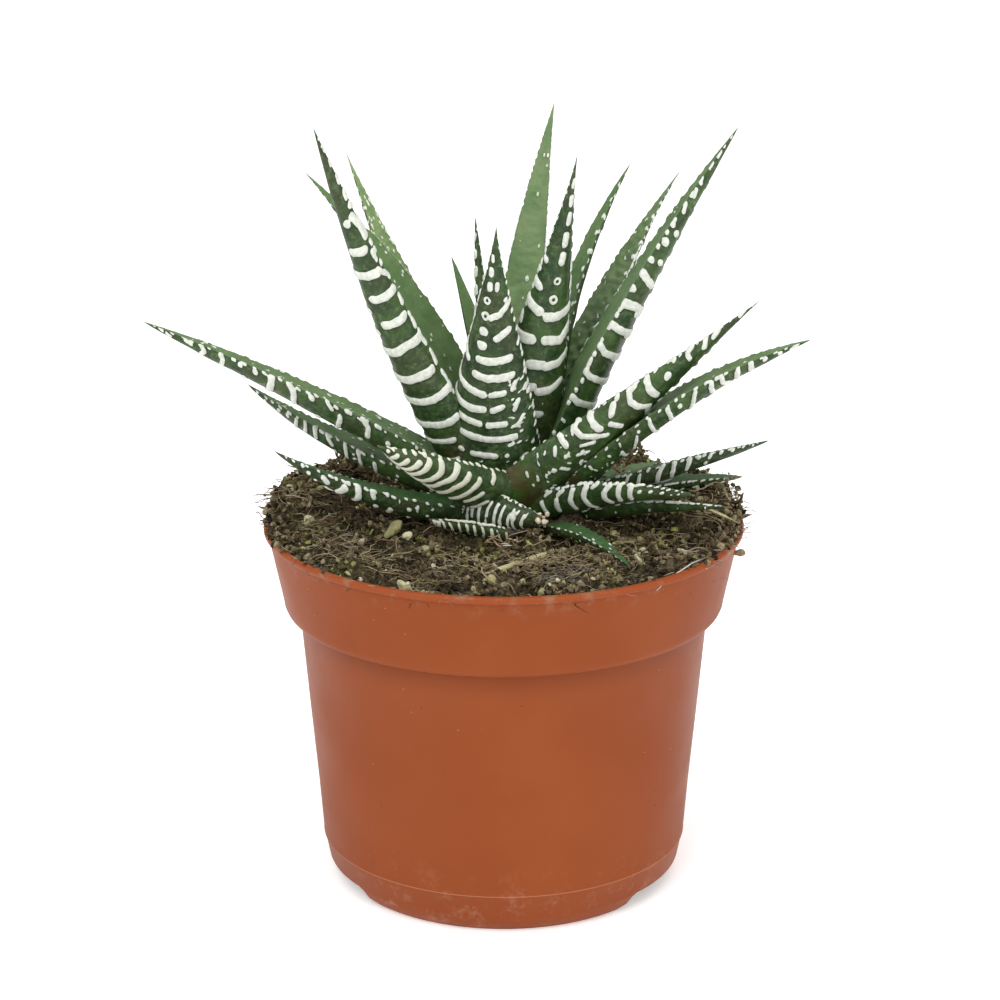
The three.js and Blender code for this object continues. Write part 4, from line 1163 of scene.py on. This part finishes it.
def peat_crumbs(random):
    """Peat lumps, clumps of small crumbs and the heaps against the rim."""
    crumbs = Bunch()
    for place in scattered(random, PEAT_CRUMBS, SOIL_EDGE_RADIUS):
        size = random.uniform(0.3, 0.85)
        crumb(crumbs, place + (0, 0, size * 0.3), size, random, 1, random.uniform(0, 0.8))
    for place in scattered(random, PEAT_CLUMPS, 56.5):
        tone = random.uniform(0, 0.6)
        for _ in range(CRUMBS_IN_CLUMP):
            size = random.uniform(0.3, 0.85)
            offset = random.normal(0, 1.2, 3) * (1, 1, 0.6) + (0, 0, 0.9)
            crumb(crumbs, place + offset, size, random, 1, tone + random.uniform(0, 0.4))
    for side in (-1, 1):
        for _ in range(HEAPED_CRUMBS):
            place = rim_heap(random, side)
            crumb(crumbs, place, random.uniform(0.35, 1.0), random, 1, random.uniform(0, 0.9))
    crumb(crumbs, np.array(WALL_GRAIN), 1.25, random, 2, 0.9)
    return crumbs


def moss_crumbs(random):
    """Yellow-green mossy crumbs in patches."""
    moss = Bunch()
    for place in scattered(random, MOSS_CRUMBS, 57):
        if lattice_noise(place[0] / 9 + 12, place[1] / 9 + 12, 5) > -0.1:
            size = random.uniform(0.25, 0.75)
            crumb(moss, place + (0, 0, size * 0.5), size, random, 1, random.uniform(0, 1))
    return moss


def pale_granules(random):
    """Granules: many small ones, and the large ones that the photo shows."""
    granules = Bunch()
    for place in scattered(random, GRANULES, 56):
        size = abs(random.normal(0.3, 0.16)) + 0.22
        crumb(granules, place + (0, 0, size * 0.7), size, random, 2, random.uniform(0.2, 1))
    for x, y, lift, size, shade in LARGE_GRANULES:
        crumb(granules, on_soil(x, y, lift), size, random, 3, shade)
    return granules


def soil_fibres(random):
    """Fine brown fibres, denser where the soil is heaped against the rim."""
    fibres = Bunch()
    for place in scattered(random, SHORT_FIBRES, 57.5):
        start = place + (0, 0, random.uniform(0, 0.7))
        path = curly(start, random, random.integers(4, 8), random.uniform(0.5, 1.1), 0.45)
        strand(fibres, path, random.uniform(0.05, 0.16), 3, random.uniform(0, 1))
    for place in scattered(random, LONG_FIBRES, 56):
        start = place + (0, 0, random.uniform(0.5, 1.6))
        path = curly(start, random, 9, random.uniform(0.7, 1.1), 0.35, 0.15)
        strand(fibres, path, random.uniform(0.1, 0.2), 4, random.uniform(0.4, 1))
    for x, y, spread, count in FIBRE_TUFTS:
        for _ in range(count):
            start = gathered(random, x, y, spread, (0.4, 1.8))
            path = curly(start, random, 8, random.uniform(0.6, 1), 0.5, 0.25)
            strand(fibres, path, random.uniform(0.09, 0.19), 3, random.uniform(0.5, 1.2))
    for side in (-1, 1):
        for _ in range(HEAPED_FIBRES):
            start = rim_heap(random, side)
            path = curly(start, random, 6, random.uniform(0.5, 0.9), 0.5, random.uniform(-0.2, 0.6))
            strand(fibres, path, random.uniform(0.06, 0.15), 3, random.uniform(0.1, 1))
    return fibres


def root_hairs(random):
    """Pale hairs in tangles, and one long white root at the right."""
    hairs = Bunch()
    for x, y, spread, count in HAIR_TANGLES:
        for _ in range(count):
            start = gathered(random, x, y, spread, (0.5, 2))
            path = curly(start, random, 10, random.uniform(0.5, 0.8), 0.5, 0.1)
            strand(hairs, path, random.uniform(0.05, 0.09), 3, random.uniform(0, 0.8))
    path = [on_soil(x, y, lift) for x, y, lift in LONG_ROOT]
    strand(hairs, path, 0.2, 6, 1)
    return hairs


def frayed_stalk(plan, wide, random, count):
    """A dry stalk as a bundle of fibres along points of the pot's plan."""
    stalk = Bunch()
    corners = np.array([(x, y, float(soil_height(np.array(x), np.array(y))) + lift) for x, y, lift in plan])
    shares = np.linspace(0, 1, 14)
    line = np.stack([np.interp(shares, np.linspace(0, 1, len(plan)), corners[:, k]) for k in range(3)], -1)
    aside = unit(np.cross(line[-1] - line[0], [0, 0, 1.0]))
    for _ in range(count):
        start = random.uniform(0, 0.25)
        stop = random.uniform(0.7, 1)
        shift = random.normal(0, wide * 0.4)
        turned = random.normal(0, wide * 0.35)
        rise = random.uniform(-0.25, 0.35) * wide
        path = []
        for share in np.linspace(start, stop, 12):
            centre = np.array([np.interp(share, shares, line[:, k]) for k in range(3)])
            wave = 0.12 * math.sin(9 * share + shift * 5)
            path.append(centre + aside * (shift + turned * (share - 0.5) + wave) + (0, 0, rise))
        strand(stalk, path, random.uniform(0.2, 0.45) * wide, 5, random.uniform(0.35, 1.1), 0.7)
    return stalk


def dry_bits(random):
    """Dried scraps of leaf: short bent strips at places that the photo shows."""
    bits = Bunch()
    for x, y, z, count, length, spread, shade in DRY_BITS:
        for _ in range(count):
            start = np.array([x, y, z]) + random.normal(0, spread, 3) * (1, 1, 0.3)
            climb = random.uniform(0.2, 1.1)
            path = curly(start, random, 5, length / 5, 0.35, climb)
            strand(bits, path, random.uniform(0.25, 0.5), 5, shade + random.uniform(-0.2, 0.2), 0.4)
    for _ in range(CUT_END_LUMPS):
        place = CUT_END + random.normal(0, 0.75, 3)
        crumb(bits, place, random.uniform(0.5, 0.95), random, 2, random.uniform(0.8, 1.2))
    for start, stop, radius, shade in TWIGS:
        path = np.linspace(start, stop, 6) + random.normal(0, 0.08, (6, 3))
        strand(bits, path, radius, 5, shade)
    return bits


# How each kind of loose matter looks: its dark, middle and light colours, its roughness, and the size and
# depth of its grain in metres
MATTER = {
    "peat crumbs": ((0.013, 0.01, 0.006), (0.115, 0.085, 0.046), (0.33, 0.27, 0.16), 0.95, 0.0006, 0.0004),
    "moss crumbs": ((0.06, 0.064, 0.016), (0.2, 0.2, 0.055), (0.42, 0.42, 0.15), 0.95, 0.0006, 0.0003),
    "soil granules": ((0.15, 0.13, 0.055), (0.34, 0.32, 0.15), (0.58, 0.54, 0.38), 0.85, 0.0009, 0.0003),
    "peat fibres": ((0.04, 0.027, 0.016), (0.16, 0.11, 0.062), (0.36, 0.29, 0.18), 0.9, 0.0012, 0.0002),
    "root hairs": ((0.1, 0.08, 0.065), (0.24, 0.2, 0.17), (0.62, 0.57, 0.52), 0.8, 0.0012, 0.0001),
    "dry stalk": ((0.13, 0.11, 0.045), (0.36, 0.32, 0.15), (0.55, 0.5, 0.3), 0.8, 0.0008, 0.0003),
    "bark": ((0.03, 0.02, 0.012), (0.1, 0.075, 0.045), (0.2, 0.16, 0.1), 0.95, 0.0008, 0.0005),
    "dry leaf scraps": ((0.06, 0.035, 0.015), (0.3, 0.2, 0.11), (0.62, 0.55, 0.42), 0.75, 0.0008, 0.0002),
}


def bark_rind(random):
    """The piece of bark: coarse fibres with lumps along them."""
    bark = frayed_stalk(BARK_PLAN, 2.4, random, 9)
    for share in np.linspace(0.1, 0.9, 7):
        x, y = (np.interp(share, [0, 1], [BARK_PLAN[0][k], BARK_PLAN[-1][k]]) for k in (0, 1))
        place = on_soil(x, y, random.uniform(0.6, 2.2))
        crumb(bark, place, random.uniform(0.9, 1.5), random, 2, random.uniform(0, 0.6))
    return bark


def make_litter():
    """All the loose matter on the soil."""
    random = np.random.default_rng(SEED + 100)
    matter = {name: shaded_material(name, *look) for name, look in MATTER.items()}
    peat_crumbs(random).piece("soil_crumbs", matter["peat crumbs"], "soil", smoothed=False)
    moss_crumbs(random).piece("soil_moss", matter["moss crumbs"], "soil", smoothed=False)
    pale_granules(random).piece("soil_granules", matter["soil granules"], "soil")
    soil_fibres(random).piece("soil_fibres", matter["peat fibres"], "soil")
    root_hairs(random).piece("soil_hairs", matter["root hairs"], "root")
    for name, plan, wide, count in STALKS:
        stalk = frayed_stalk(plan, wide, random, count)
        stalk.piece(name + "_fibres", matter["dry stalk"], "dried_plant", (name,))
    bark_rind(random).piece("bark_piece_rind", matter["bark"], "dried_plant", ("bark_piece",))
    dry_bits(random).piece("dry_scraps", matter["dry leaf scraps"], "dried_plant")
    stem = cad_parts["stem_with_roots"].data.materials
    stem.clear()
    stem.append(matter["peat fibres"])


soil_piece(soil_material())
make_litter()


# Floor, light and camera

FLOOR_SIZE = 20
LAMP_AIM = (0, 0, 0.1)
CAMERA_DISTANCE = 0.7
CAMERA_HEIGHT = 0.3201
CAMERA_PITCH = 17.62
CAMERA_LENS = 105.77
SENSOR = 36
PHOTO_WIDTH = 1000
PHOTO_CENTRE_X = 503.72


def add_floor():
    bpy.ops.mesh.primitive_plane_add(size=FLOOR_SIZE, location=(0, 0, 0))
    floor = bpy.context.object
    floor.name = "floor"
    pale = Shader("floor").finish((0.93, 0.93, 0.93), 0.9, Specular_IOR_Level=0.1,
                                  Emission_Color=(1, 1, 1, 1), Emission_Strength=0.35)
    floor.data.materials.append(pale)


def add_light(name, kind, power, aim):
    """A light that shines along a direction."""
    data = bpy.data.lights.new(name, kind)
    data.energy = power
    light = bpy.data.objects.new(name, data)
    bpy.context.scene.collection.objects.link(light)
    light.rotation_mode = "QUATERNION"
    light.rotation_quaternion = Vector(aim).to_track_quat("-Z", "Y")
    return light


def add_lamp(name, place, size, power):
    """A square soft light that faces the plant."""
    lamp = add_light(name, "AREA", power, Vector(LAMP_AIM) - Vector(place))
    lamp.data.size = size
    lamp.location = place


def add_sky():
    """An even, soft light from above, and a white world."""
    sky = add_light("sky", "SUN", 1.7, (0.1, 0.35, -1))
    sky.data.angle = math.radians(80)
    world = bpy.data.worlds.new("studio")
    world.use_nodes = True
    colour, strength = world.node_tree.nodes["Background"].inputs[:2]
    colour.default_value = (1, 1, 1, 1)
    strength.default_value = 0.5
    bpy.context.scene.world = world


def add_camera():
    data = bpy.data.cameras.new("camera")
    data.lens = CAMERA_LENS
    data.sensor_width = SENSOR
    data.shift_x = (PHOTO_WIDTH / 2 - PHOTO_CENTRE_X) / PHOTO_WIDTH
    camera = bpy.data.objects.new("camera", data)
    bpy.context.scene.collection.objects.link(camera)
    camera.location = (0, -CAMERA_DISTANCE, CAMERA_HEIGHT)
    camera.rotation_euler = (math.radians(90 - CAMERA_PITCH), 0, 0)
    bpy.context.scene.camera = camera


add_floor()
add_sky()
add_lamp("key", (-0.35, -0.8, 0.8), 0.6, 3)
add_lamp("fill", (0.7, -0.6, 0.4), 0.7, 1.6)
add_lamp("top", (0.1, 0.2, 1.1), 0.7, 1.5)
add_camera()
bpy.context.scene.view_settings.view_transform = "Standard"
